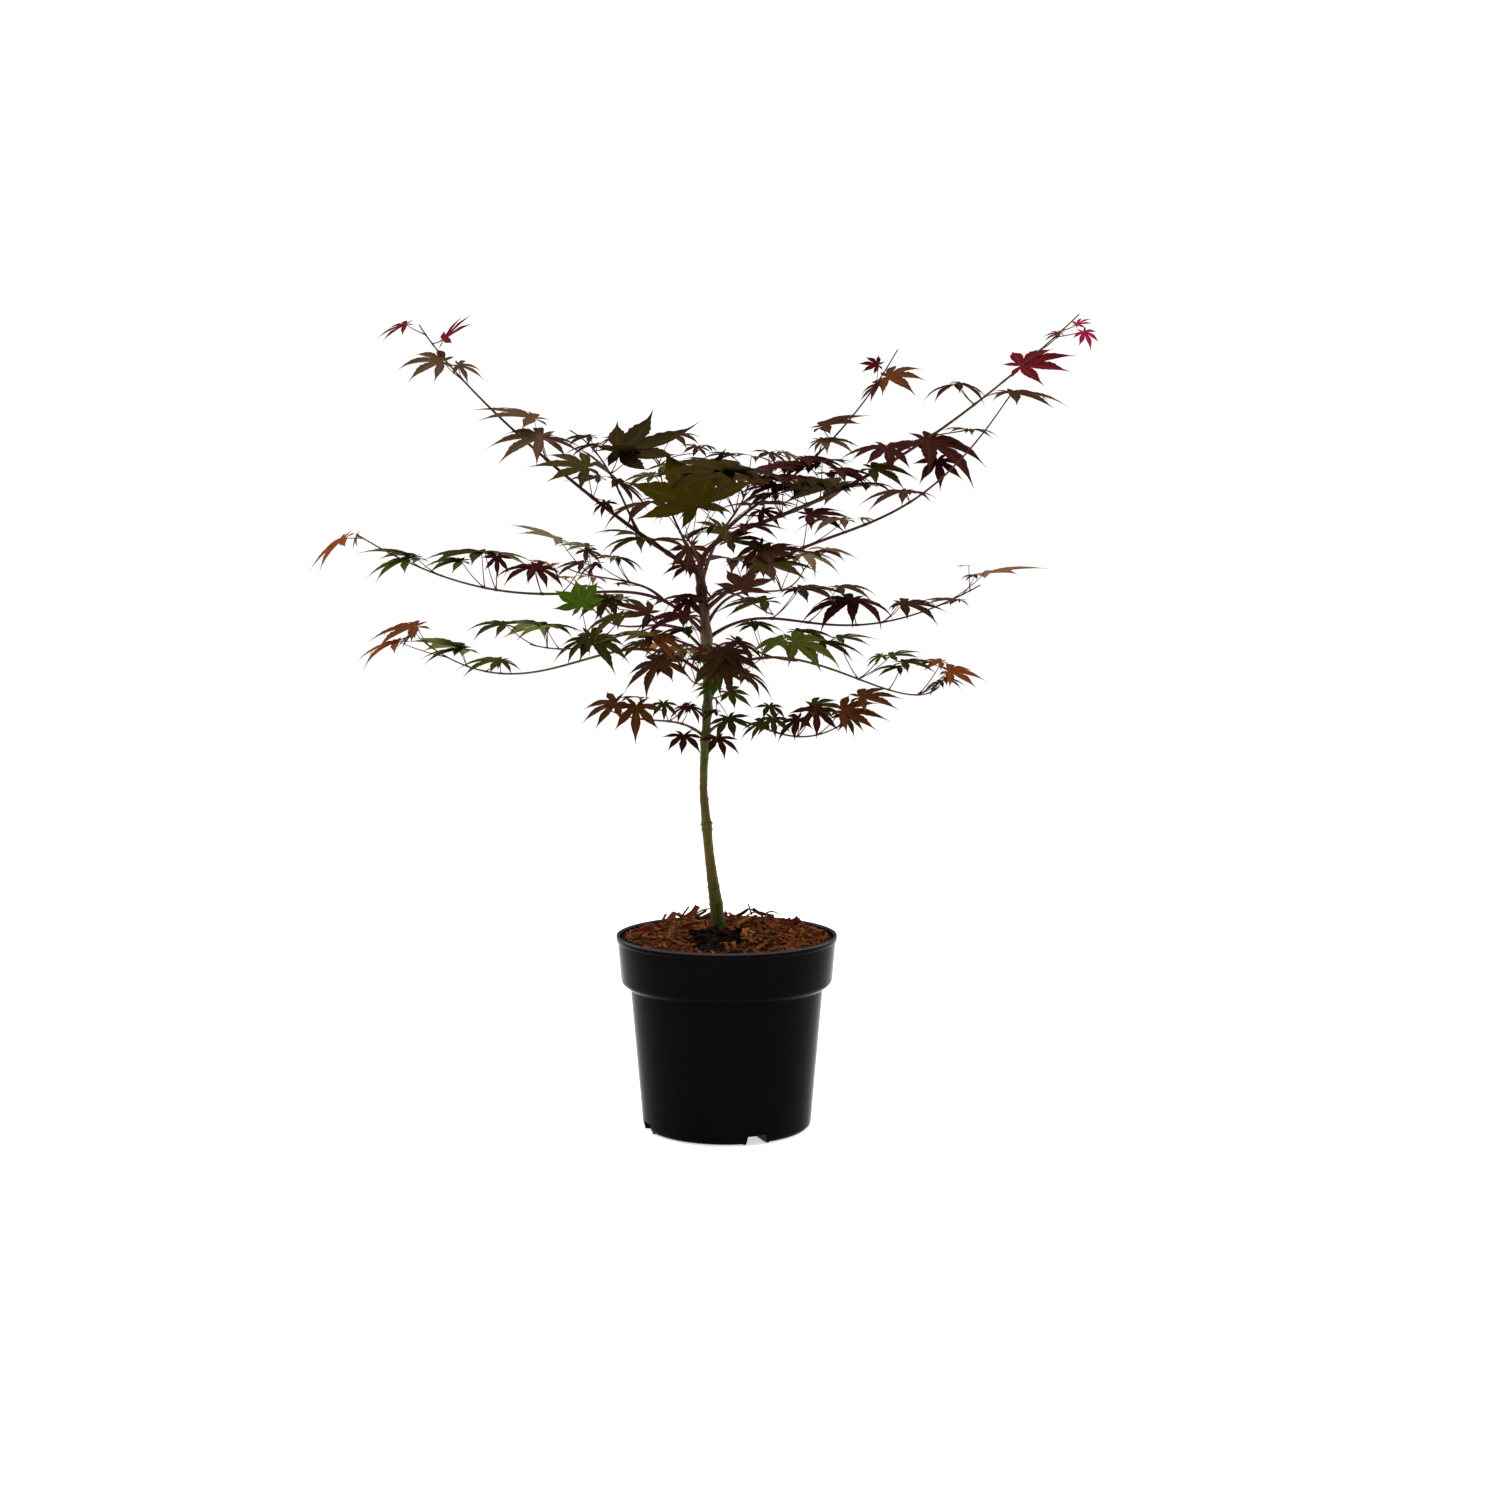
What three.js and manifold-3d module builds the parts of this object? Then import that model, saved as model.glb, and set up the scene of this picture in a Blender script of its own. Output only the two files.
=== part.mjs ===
// Young Japanese maple in a round nursery pot.
// Millimetres, +Z up. The origin is the middle of the pot's flat underside, and the front looks along -Y.
//
// The pot is filled with potting mix under bark chips. A thin trunk leans out of it and forks at its top.
// Limbs leave the trunk in opposite pairs. Each limb starts as a bare bough and ends in a leafy shoot,
// and the short ones are leafy from the trunk on. A shoot carries its leaves in pairs on long stalks.

import * as THREE from "three";
import { mergeVertices } from "three/addons/utils/BufferGeometryUtils.js";
import Module from "manifold-3d";

const wasm = await Module();
wasm.setup();

// ---- Driving dimensions ----

const CLEARANCE = 0.3; // between two solids that touch in the real plant

const POT = {
  height: 167,
  footRadius: 71.5,
  neckRadius: 81.5, // just under the collar
  collarBottom: 119,
  collarRadius: 88.5,
  rimRadius: 93,
  lipRadius: 95,
  lipHeight: 5,
  lipEdge: 1,
  wall: 1.6,
  floor: 2.2,
  footRounding: 5,
  shoulder: 7, // height of the rounded step under the collar
  sides: 32,
};

const DRAIN = {
  count: 4,
  firstBearing: -69, // degrees; the next ones follow at equal steps
  width: 20,
  topWidth: 16,
  height: 8,
  depth: 26, // from the wall inwards
  roof: 1.6,
  holeRadius: 4,
  holeDepth: 14,
  holeSides: 12,
  holeInset: 16, // from the wall to the hole's middle
};

const SOIL = {
  edgeDrop: 10, // below the lip, at the wall
  crownHeight: 170, // at the trunk's foot
  crownRadius: 15, // flat spot that the trunk stands on
  slopeSteps: [0.8, 0.55, 0.35], // where the mound's surface bends, from the wall to the flat spot
  chips: 14,
  chipSize: 15, // the length of a middling chip
  chipSpread: [0.7, 1.25], // of chips' sizes
  chipWidth: 0.5, // of its length
  chipThickness: 0.28,
  chipLift: 0.06, // of its middle above the surface
  chipStray: 20, // degrees off its even place round the pot, at most
  chipTilt: 25, // degrees, at most
  chipRing: [0.13, 0.72], // the part of the surface, by area, that chips lie on
};

// The trunk, from its flat foot to its fork: height, offset to the right, offset to the back, radius.
const TRUNK = [
  { z: 170, x: -7, y: 8, r: 8.4 },
  { z: 174, x: -7.4, y: 7.8, r: 6.6 },
  { z: 180, x: -8, y: 7.6, r: 5.9 },
  { z: 192, x: -9.2, y: 7, r: 5.7 },
  { z: 207, x: -11.4, y: 6, r: 5 },
  { z: 230, x: -14.4, y: 4.6, r: 4.3 },
  { z: 252, x: -16.6, y: 3.2, r: 4.1 },
  { z: 260, x: -17, y: 2.8, r: 4.8 },
  { z: 268, x: -18, y: 2.4, r: 3.9 },
  { z: 290, x: -19.8, y: 1.4, r: 3.4 },
  { z: 310, x: -19.6, y: 0.7, r: 3.4 },
  { z: 336, x: -17.8, y: 0, r: 3.9 },
  { z: 346, x: -17.2, y: 0, r: 3.6 },
  { z: 384, x: -15, y: 0, r: 4.2 },
  { z: 405, x: -15.6, y: 0, r: 4 },
  { z: 422, x: -17, y: 0, r: 4.1 },
  { z: 444, x: -19, y: 0, r: 3.8 },
  { z: 462, x: -21, y: 0, r: 3.6 },
  { z: 481, x: -23, y: 0, r: 3.3 },
];
const TRUNK_SIDES = 10;

// A limb is one smooth sweep. It leaves its parent at "foot" (a height on the trunk, or a share of the
// parent limb), goes out over "reach" in the direction "bearing" (0 right, 90 back, 180 left, -90 front)
// and climbs by "rise". "leave" and "arrive" are its slopes at the two ends in degrees, and "spring" and
// "sweep" say, as shares of its chord, how long it keeps each of them. "swing" turns it sideways at its
// foot and back again at its tip. "bare" is the share of it that is bough. The limbs behind grow "pairs" of
// leaves by a rule, and "leaf" is the length of a leaf's middle lobe at their first pair and at their last.
const LIMBS = {
  left_leader: {
    foot: 476, bearing: 170, reach: 245, rise: 212, leave: 29, spring: 0.23, arrive: 58, sweep: 0.25,
    swing: -6, radius: 2.2, bare: 0.27, tint: "bronze",
  },
  right_leader: {
    foot: 478, bearing: -5, reach: 316, rise: 212, leave: 84, spring: 0.15, arrive: 43, sweep: 0.78,
    swing: 8, radius: 2.4, bare: 0.25, tint: "maroon",
  },
  right_spire: {
    parent: "right_leader", foot: 0.08, bearing: 30, reach: 181, rise: 168, leave: 61, spring: 0.13,
    arrive: 58, sweep: 0.55, swing: 6, radius: 1.5, bare: 0.26, tint: "bronze",
  },
  left_inner: {
    parent: "left_leader", foot: 0.2, bearing: 212, reach: 64, rise: 84, leave: 60, spring: 0.5,
    arrive: 28, sweep: 0.3, swing: 10, radius: 1.2, bare: 0.28, tint: "olive",
  },
  right_sweep: {
    foot: 444, bearing: -24, reach: 266, rise: 171, leave: 38, spring: 0.48, arrive: 56, sweep: 0.51,
    swing: -8, radius: 1.9, bare: 0.28, tint: "maroon",
  },
  right_middle: {
    foot: 420, bearing: 16, reach: 249, rise: 45, leave: 35, spring: 0.34, arrive: 29, sweep: 0.62,
    swing: 10, radius: 1.5, bare: 0.28, tint: "maroon",
  },
  left_middle: {
    foot: 422, bearing: 192, reach: 292, rise: 87, leave: 51, spring: 0.37, arrive: 32, sweep: 0.63,
    swing: 8, radius: 1.7, bare: 0.32, tint: "bronze",
  },
  left_middle_side: {
    parent: "left_middle", foot: 0.16, bearing: 150, reach: 96, rise: 26, leave: 44, spring: 0.3,
    arrive: 22, sweep: 0.3, swing: -10, radius: 1.1, bare: 0.3, tint: "olive",
  },
  left_whip: {
    foot: 408, bearing: 212, reach: 168, rise: 12, leave: 26, spring: 0.6, arrive: 14, sweep: 0.5,
    swing: -8, radius: 1.2, bare: 0.3, tint: "green",
  },
  left_arch: {
    foot: 385, bearing: 164, reach: 266, rise: 32, leave: 42, spring: 0.43, arrive: 38, sweep: 0.51,
    swing: -10, radius: 1.6, bare: 0.32, tint: "olive",
  },
  right_arch: {
    foot: 383, bearing: -18, reach: 201, rise: 1, leave: 44, spring: 0.46, arrive: 43, sweep: 0.25,
    swing: 10, radius: 1.5, bare: 0.3, tint: "green",
  },
  left_foot: {
    foot: 336, bearing: 200, reach: 94, rise: 30, leave: 42, spring: 0.4, arrive: 28, sweep: 0.5,
    swing: 6, radius: 1.1, bare: 0, tint: "orange",
  },
  right_foot: {
    foot: 338, bearing: -20, reach: 134, rise: 22, leave: 48, spring: 0.42, arrive: 40, sweep: 0.6,
    swing: -8, radius: 1.2, bare: 0, tint: "green",
  },
  front_foot: {
    foot: 362, bearing: -82, reach: 72, rise: 8, leave: 40, spring: 0.4, arrive: 6, sweep: 0.3,
    swing: 8, radius: 1, bare: 0, tint: "green",
  },
  back_foot: {
    foot: 362, bearing: 100, reach: 150, rise: 26, leave: 42, spring: 0.4, arrive: 24, sweep: 0.5,
    swing: -8, radius: 1.2, bare: 0, pairs: 3, leaf: [33, 28], tint: "olive",
  },
  front_middle: {
    foot: 404, bearing: -58, reach: 138, rise: 4, leave: 36, spring: 0.4, arrive: 2, sweep: 0.4,
    swing: -8, radius: 1.3, bare: 0.3, tint: "orange",
  },
  back_middle: {
    foot: 404, bearing: 122, reach: 224, rise: 48, leave: 46, spring: 0.36, arrive: 30, sweep: 0.5,
    swing: 8, radius: 1.5, bare: 0.3, pairs: 3, leaf: [35, 26], tint: "bronze",
  },
  front_side: {
    foot: 428, bearing: -122, reach: 150, rise: 2, leave: 40, spring: 0.34, arrive: 10, sweep: 0.4,
    swing: 8, radius: 1.3, bare: 0.3, tint: "bronze",
  },
  back_side: {
    foot: 430, bearing: 66, reach: 218, rise: 48, leave: 50, spring: 0.34, arrive: 30, sweep: 0.4,
    swing: -8, radius: 1.5, bare: 0.3, pairs: 3, leaf: [39, 28], tint: "maroon",
  },
  front_high: {
    foot: 448, bearing: -56, reach: 104, rise: -4, leave: 44, spring: 0.4, arrive: -4, sweep: 0.3,
    swing: 8, radius: 1.2, bare: 0.3, tint: "maroon",
  },
  front_crown: {
    foot: 464, bearing: -97, reach: 122, rise: 46, leave: 46, spring: 0.3, arrive: 8, sweep: 0.3,
    swing: 6, radius: 1.4, bare: 0.3, tint: "olive",
  },
  back_crown: {
    foot: 466, bearing: 78, reach: 196, rise: 98, leave: 56, spring: 0.34, arrive: 30, sweep: 0.4,
    swing: -8, radius: 1.7, bare: 0.28, pairs: 4, leaf: [46, 30], tint: "maroon",
  },
  back_leader: {
    foot: 461, bearing: 104, reach: 176, rise: 116, leave: 56, spring: 0.3, arrive: 40, sweep: 0.4,
    swing: 8, radius: 1.6, bare: 0.28, pairs: 3, leaf: [44, 30], tint: "bronze",
  },
};

// The leaves of the other limbs. Each row has the share of the limb where the stalk leaves it, the way from
// there to the blade (right, back and up), the bearing that the blade points along, its dip and its roll in
// degrees, and the length of its middle lobe.
const PLACED_LEAVES = {
  left_leader: [
    [0.94, 10, 4, 4, 2, -44, 20, 33], [0.82, -15, -6, 14, 184, -2, -30, 38],
    [0.51, -11, 10, 35, 183, -14, -12, 50], [0.51, -3, -12, 18, 184, 0, -26, 46],
    [0.5, -7, 8, 21, -8, 16, 12, 38], [0.35, -3, -14, 25, 184, -6, 24, 45],
    [0.14, -11, -14, 5, 183, 4, -8, 38], [0.14, -14, 8, 8, 178, -12, 6, 36],
    [0.1, -15, -6, 11, 0, -2, 6, 40],
  ],
  left_inner: [
    [0.35, -5, 6, 12, 170, -44, 12, 40], [0.35, -2, -12, 10, -6, 34, 8, 34],
    [0.52, 8, 0, 18, 11, -12, 30, 60], [0.52, 21, -10, 19, 180, -4, 10, 36],
  ],
  front_crown: [
    [1, 14, 0, 22, 243, -40, 25, 66], [0.83, 21, 8, 8, 182, 12, -6, 30],
    [0.64, -9, 10, 35, 182, -8, 6, 34],
  ],
  right_leader: [
    [0.13, -4, 6, 45, 182, -6, 10, 72], [0.13, -9, 14, 52, 2, 2, 12, 44],
    [0.13, -9, -16, -8, 4, -6, 26, 36], [0.13, 3, -12, 4, 0, -2, 8, 38],
    [0.23, -14, 10, 39, 0, -12, 10, 38], [0.23, -6, -8, 33, 0, 4, 6, 48],
    [0.23, 1, -14, 32, 184, 10, -8, 36], [0.32, 10, -12, 11, 180, 4, 24, 54],
    [0.38, -16, 12, 12, 2, 0, 6, 44], [0.38, 14, -10, 3, 0, 0, 6, 30],
    [0.38, 20, 10, 2, 181, -2, -6, 36], [0.5, -11, 8, 11, 182, 8, -10, 36],
    [0.5, -19, -8, -7, -6, 4, 18, 40], [0.58, 0, -14, -2, 0, 10, 22, 60],
    [0.58, -2, 10, -2, 184, 6, -12, 40], [0.71, -14, 6, 17, 183, 10, -8, 32],
    [0.71, -14, -6, 17, -4, 14, 12, 30], [0.75, 8, -10, -4, -2, 2, 12, 52],
    [0.79, 13, -4, 12, 4, -16, 26, 46], [0.89, 17, 4, 14, 180, 4, 12, 16],
    [0.93, 23, -6, 4, -50, 46, 20, 16], [0.95, 13, 2, 5, 14, -30, 24, 13],
  ],
  right_sweep: [
    [0.13, 22, -8, 26, 0, -6, 18, 38], [0.26, -13, -14, -4, -2, -2, 10, 46],
    [0.26, 29, 6, 6, 0, -6, 4, 40], [0.34, 4, 8, 27, 0, -2, 18, 38],
    [0.34, 34, -6, 23, 181, -2, -8, 38], [0.65, -5, -10, 8, 180, 4, -10, 38],
  ],
  right_spire: [
    [0.44, -4, 8, 6, 4, -6, 10, 30], [0.51, 3, -6, 11, 0, 0, 12, 38],
    [0.58, -8, 0, 12, 2, -18, 12, 44], [0.81, 14, -4, 14, -20, -4, 30, 36],
  ],
  right_middle: [
    [0.25, 24, 6, 25, 0, -2, 10, 44], [0.38, 26, 8, 30, 0, -3, 8, 36],
    [0.55, -4, -6, 21, 184, 5, -26, 50], [0.55, -3, 6, 21, -6, 8, 12, 44],
    [0.64, 17, -8, 16, -4, 3, 22, 40], [0.85, 14, -4, 4, 180, -4, 6, 34],
    [0.85, 37, -6, 27, 0, -9, -6, 50],
  ],
  left_middle: [
    [0.98, -15, 0, 0, 188, 36, -10, 36], [0.76, -21, 6, 15, 180, -12, 8, 44],
    [0.76, -25, -6, 13, 185, 14, -18, 46], [0.64, -3, 6, 29, 181, -1, -6, 52],
    [0.64, -18, -8, 22, 183, -1, -18, 38], [0.61, -9, 2, 30, -2, 1, -6, 44],
    [0.49, -6, -4, 22, 183, 3, -18, 37], [0.49, -6, 6, 22, -8, 26, 30, 32],
    [0.44, 18, 6, 25, 183, 4, -18, 30],
  ],
  left_middle_side: [
    [0.76, -28, 6, 30, 180, -22, 8, 44],
  ],
  left_whip: [
    [0.9, -2, 6, 18, 181, -6, 10, 44], [0.97, -24, 2, 17, 182, -4, -10, 34],
    [0.9, 1, -8, 17, 183, 6, 12, 42], [0.83, -12, 8, 19, 0, 2, 4, 32],
    [0.63, -5, -6, 5, 190, 22, -22, 32], [0.63, -4, 6, 5, -6, 22, 24, 40],
  ],
  front_side: [
    [0.97, 12, 4, 15, 182, 16, -10, 38], [0.75, 13, -8, 16, 178, -18, 32, 31],
    [0.51, 21, -4, 7, 184, 6, -10, 42], [0.51, 24, 6, -5, 182, 4, -8, 30],
    [0.75, 14, -8, -2, 181, -8, 12, 32], [0.75, 12, 6, -3, -10, 14, 18, 32],
  ],
  left_arch: [
    [0.96, -13, 4, 18, 185, 8, -12, 44], [0.9, -42, -6, 14, 184, 16, -8, 42],
    [0.83, -5, 4, 16, 178, -10, 12, 50], [0.83, -5, -6, 15, 183, 6, -4, 38],
    [0.77, 12, 4, 9, 181, -2, -10, 36], [0.25, 17, -14, -10, 192, 30, -24, 42],
  ],
  left_foot: [
    [0.63, -3, -4, 12, -92, 55, 0, 30], [0.76, -8, 6, 11, 188, 22, -24, 34],
  ],
  front_foot: [
  ],
  right_foot: [
    [0.62, 15, -6, 24, -88, 56, 0, 30], [0.74, 20, -4, 21, -4, 4, 26, 38],
    [1, 3, 2, 14, -2, -6, 16, 36],
  ],
  right_arch: [
    [0.46, -14, 8, 27, -2, 4, 6, 38], [0.46, 5, -6, 18, -2, 6, 8, 38],
    [0.65, -17, 6, 34, 0, -6, 8, 30], [0.78, 11, -6, 23, -2, -4, 8, 34],
    [0.9, 25, -4, 20, -2, 8, 18, 30],
  ],
  front_middle: [
    [0.98, -9, -6, 17, 186, 14, -12, 30], [0.98, -2, 6, 15, -8, 12, 22, 40],
    [0.49, -22, 10, -2, -30, 20, 0, 30], [0.49, -18, -6, -5, -10, 18, 24, 38],
    [0.49, -22, 4, -9, -92, 66, 0, 30], [0.49, -18, -10, -7, -60, 58, 0, 36],
    [0.74, -27, 6, 12, -8, 26, 10, 32], [0.74, -20, -14, -13, -6, 30, 10, 30],
  ],
  front_high: [
    [0.24, 17, -6, 3, -63, -32, -10, 34], [1, -6, 4, 11, 182, 5, -10, 46],
    [0.12, -10, -8, 1, 182, 0, -6, 38],
  ],
};
const BOUGH = { sides: 5, rings: 4 };
const CURVE_STEPS = 400; // enough to space the points of a limb evenly
const TWIG = { tipRadius: 0.8, taper: 0.8, sides: 4, ringEvery: 24 };

// Where the pairs of leaves stand on a shoot, as shares of the limb, and how they point, in degrees. "turn"
// is away from the twig, seen from above, and "climb" is a stalk's slope.
const PAIRS = {
  afterBough: 0.04,
  firstOnBareFoot: 0.3,
  last: 0.985,
  shrink: 0.88, // each stretch between two pairs against the one before
  even: { turn: [35, 70], otherTurn: [35, 70], climb: [42, 66] },
  odd: { turn: [95, 150], otherTurn: [-12, 25], climb: [52, 78] },
};
const BLADE = {
  nod: [-11, 16], // how far it dips, from and to; below zero it looks up
  turn: 30, // how far it strays from its stalk's bearing, at most
  roll: 16, // at most
};

// A palm-shaped leaf: the lobes on one side of the middle one, by angle, length and half width, and how far
// out the cut before each of them reaches in. All are shares of the middle lobe's length.
const LEAF = {
  lobes: [
    { angle: 0, length: 1.1, width: 0.17 },
    { angle: 40, length: 1.05, width: 0.16, cut: 0.36 },
    { angle: 82, length: 0.84, width: 0, cut: 0.34 },
    { angle: 128, length: 0.42, width: 0, cut: 0.2 },
  ],
  widestAt: 0.5, // how far out a lobe is widest
  notch: 0.05, // behind the leaf's middle, where the stalk ends
  droop: 0.18, // how far the tips hang
  thickness: 0.034, // in the middle; it thins to the edge
  vary: 0.1, // how much longer or shorter one lobe may be
  veer: 3, // how far one lobe may turn, in degrees
  spread: [0.88, 1.12], // of leaves' sizes
};
const STALK = {
  halfWidth: 0.5,
  depth: 0.9,
  perLeaf: 0.95, // its length for a leaf of length 1
  spread: [0.8, 1.25], // of stalks' lengths
  kneeAt: 0.6, // the share of it that climbs steeply
  pastBough: 0.03, // how far beyond its bough the first one leaves the limb, as a share of the limb
};
const SEED = 20;
const SLIVER = 0.12; // faces thinner than this are merged into their neighbours

// ---- Small helpers ----

const rad = THREE.MathUtils.degToRad;
const at = (x, y) => new THREE.Vector2(x, y);
const GOLDEN_ANGLE = 137.5; // spreads chips evenly round the pot
const NEARLY_ALONG_Y = 0.05; // of a squared cross product with that axis

// Random numbers from a whole-number seed, the same in every run. Neighbouring seeds give unlike rows.
function randomFrom(seed) {
  let state = seed * 7919;
  return (low, high) => {
    state = (state + 0x6d2b79f5) >>> 0;
    let bits = Math.imul(state ^ (state >>> 15), state | 1);
    bits ^= bits + Math.imul(bits ^ (bits >>> 7), bits | 61);
    return low + ((high - low) * ((bits ^ (bits >>> 14)) >>> 0)) / 2 ** 32;
  };
}

// A closed three.js geometry as a manifold-3d solid.
function solidOf(geometry) {
  const bare = geometry.clone();
  for (const name of Object.keys(bare.attributes)) {
    if (name !== "position") bare.deleteAttribute(name);
  }
  const merged = mergeVertices(bare, 1e-4);
  return new wasm.Manifold(
    new wasm.Mesh({
      numProp: 3,
      vertProperties: new Float32Array(merged.attributes.position.array),
      triVerts: new Uint32Array(merged.index.array),
    }),
  );
}

// A manifold-3d solid as a named three.js mesh with its finish.
function meshOf(name, solid, finish) {
  const made = solid.getMesh();
  const points = new Float32Array(made.numVert * 3);
  for (let i = 0; i < made.numVert; i++)
    for (let k = 0; k < 3; k++) points[i * 3 + k] = made.vertProperties[i * made.numProp + k];
  const geometry = new THREE.BufferGeometry();
  geometry.setAttribute("position", new THREE.BufferAttribute(points, 3));
  geometry.setIndex(new THREE.BufferAttribute(made.triVerts, 1));
  geometry.computeVertexNormals();
  const mesh = new THREE.Mesh(geometry, new THREE.MeshStandardMaterial(finish));
  mesh.name = name;
  return mesh;
}

const union = (solids) => wasm.Manifold.union(solids);

// A round, tapering rod: a cylinder bent along a curve between two shares of its length.
function rodAlong(curve, from, to, radiusAt, sides, rings) {
  const rod = new THREE.CylinderGeometry(1, 1, 1, sides, rings);
  const place = rod.attributes.position;
  const v = new THREE.Vector3();
  for (let i = 0; i < place.count; i++) {
    v.fromBufferAttribute(place, i);
    const share = from + (to - from) * (v.y + 0.5);
    const along = curve.getTangentAt(share);
    const side = new THREE.Vector3(0, 1, 0).cross(along);
    if (side.lengthSq() < NEARLY_ALONG_Y) side.set(1, 0, 0);
    side.normalize();
    const across = along.clone().cross(side);
    const r = radiusAt(share);
    const centre = curve.getPointAt(share);
    centre.addScaledVector(side, v.x * r).addScaledVector(across, -v.z * r);
    place.setXYZ(i, centre.x, centre.y, centre.z);
  }
  return solidOf(rod);
}

// ---- Pot ----

// A turned solid whose axis stands up.
function lathe(points) {
  const turned = new THREE.LatheGeometry(points, POT.sides);
  turned.rotateX(Math.PI / 2);
  return solidOf(turned);
}

// A quarter round in three points: its middle, its size, and the angles it runs between.
function roundedEdge(middle, size, from, to) {
  return [0, 0.5, 1].map((share) => {
    const angle = rad(THREE.MathUtils.lerp(from, to, share));
    return at(middle.x + size * Math.cos(angle), middle.y + size * Math.sin(angle));
  });
}

const collarWaist = POT.collarBottom + POT.shoulder;

// The pot's outer wall, from its flat foot to the top of its lip.
function outerProfile() {
  const lipBottom = POT.height - POT.lipHeight;
  return [
    ...roundedEdge(at(POT.footRadius - POT.footRounding, POT.footRounding), POT.footRounding, -90, -5),
    at(POT.neckRadius, POT.collarBottom),
    ...roundedEdge(at(POT.collarRadius - POT.shoulder, collarWaist), POT.shoulder, -70, 0),
    at(POT.rimRadius, lipBottom),
    at(POT.lipRadius, lipBottom + POT.lipEdge),
    at(POT.lipRadius, POT.height - POT.lipEdge),
    at(POT.lipRadius - POT.lipEdge, POT.height),
  ];
}

// The inside radius of the pot at a height.
function insideRadius(z) {
  const [low, high, from, to] =
    z >= collarWaist
      ? [collarWaist, POT.height, POT.collarRadius, POT.rimRadius]
      : z >= POT.collarBottom
        ? [POT.collarBottom, collarWaist, POT.neckRadius, POT.collarRadius]
        : [0, POT.collarBottom, POT.footRadius, POT.neckRadius];
  return THREE.MathUtils.mapLinear(z, low, high, from, to) - POT.wall;
}

function insideProfile(fromZ, toZ, inset) {
  return [fromZ, POT.collarBottom, collarWaist, toZ].map((z) => at(insideRadius(z) - inset, z));
}

// A channel at the foot, running inwards from the wall. "extra" thickens its sides and roof, and "past"
// runs it outwards.
function drainBlock(bearing, extra, past) {
  const floor = extra ? 0 : -1;
  const outline = new THREE.Shape([
    at(-DRAIN.width / 2 - extra, floor),
    at(DRAIN.width / 2 + extra, floor),
    at(DRAIN.topWidth / 2 + extra, DRAIN.height + extra),
    at(-DRAIN.topWidth / 2 - extra, DRAIN.height + extra),
  ]);
  const depth = DRAIN.depth + extra + past;
  const block = new THREE.ExtrudeGeometry(outline, { depth, bevelEnabled: false });
  block.rotateX(Math.PI / 2);
  block.translate(0, POT.footRadius + past, 0);
  block.rotateZ(rad(bearing - 90));
  return solidOf(block);
}

const drainBearings = Array.from(
  { length: DRAIN.count },
  (_, i) => DRAIN.firstBearing + (360 / DRAIN.count) * i,
);

// The hole that joins a channel to the potting mix above it.
function drainHole(bearing) {
  const { holeRadius, holeDepth, holeSides } = DRAIN;
  const hole = new THREE.CylinderGeometry(holeRadius, holeRadius, holeDepth, holeSides);
  hole.rotateX(Math.PI / 2);
  hole.translate(POT.footRadius - DRAIN.holeInset, 0, DRAIN.height);
  hole.rotateZ(rad(bearing));
  return solidOf(hole);
}

function makePot() {
  const above = POT.height + 2;
  const block = lathe([at(0, 0), ...outerProfile(), at(0, POT.height)]);
  const bore = lathe([at(0, POT.floor), ...insideProfile(POT.floor, above, 0), at(0, above)]);
  const roofs = union(drainBearings.map((bearing) => drainBlock(bearing, DRAIN.roof, 0))).intersect(block);
  const channels = union(drainBearings.map((bearing) => drainBlock(bearing, 0, 4)));
  const holes = union(drainBearings.map(drainHole));
  return block.subtract(bore).add(roofs).subtract(channels).subtract(holes);
}

// ---- Potting mix with bark chips ----

const soilEdge = POT.height - SOIL.edgeDrop;
const soilRadius = insideRadius(soilEdge) - CLEARANCE;

// The height of the mounded surface at a distance from the pot's axis.
function soilHeight(r) {
  const share = THREE.MathUtils.smoothstep(r, SOIL.crownRadius, soilRadius);
  return THREE.MathUtils.lerp(SOIL.crownHeight - CLEARANCE, soilEdge, share);
}

function makeChip(draw, turn) {
  const size = SOIL.chipSize * draw(...SOIL.chipSpread);
  const chip = new THREE.BoxGeometry(size, size * SOIL.chipWidth, size * SOIL.chipThickness);
  chip.rotateX(rad(draw(-SOIL.chipTilt, SOIL.chipTilt)));
  chip.rotateY(rad(draw(-SOIL.chipTilt, SOIL.chipTilt)));
  chip.rotateZ(draw(0, Math.PI));
  const r = soilRadius * Math.sqrt(draw(...SOIL.chipRing));
  const bearing = rad(turn + draw(-SOIL.chipStray, SOIL.chipStray));
  chip.translate(r * Math.cos(bearing), r * Math.sin(bearing), soilHeight(r) + size * SOIL.chipLift);
  return solidOf(chip);
}

function makeSoil() {
  const floor = POT.floor + CLEARANCE;
  const slope = SOIL.slopeSteps.map((share) => {
    const r = THREE.MathUtils.lerp(SOIL.crownRadius, soilRadius, share);
    return at(r, soilHeight(r));
  });
  const fill = lathe([
    at(0, floor),
    ...insideProfile(floor, soilEdge, CLEARANCE),
    ...slope,
    at(SOIL.crownRadius, soilHeight(0)),
    at(0, soilHeight(0)),
  ]);
  const draw = randomFrom(SEED);
  const chips = Array.from({ length: SOIL.chips }, (_, i) => makeChip(draw, i * GOLDEN_ANGLE));
  const roofs = drainBearings.map((bearing) => drainBlock(bearing, DRAIN.roof + CLEARANCE, 0));
  return union([fill, ...chips]).subtract(union(roofs));
}

// ---- Trunk and boughs ----

// The trunk's middle and radius at a height.
function trunkAt(z) {
  const next = Math.max(1, TRUNK.findIndex((level) => level.z >= z));
  const [low, high] = [TRUNK[next - 1], TRUNK[next]];
  const share = (z - low.z) / (high.z - low.z);
  const between = (key) => THREE.MathUtils.lerp(low[key], high[key], share);
  return { middle: new THREE.Vector3(between("x"), between("y"), z), r: between("r") };
}

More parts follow.
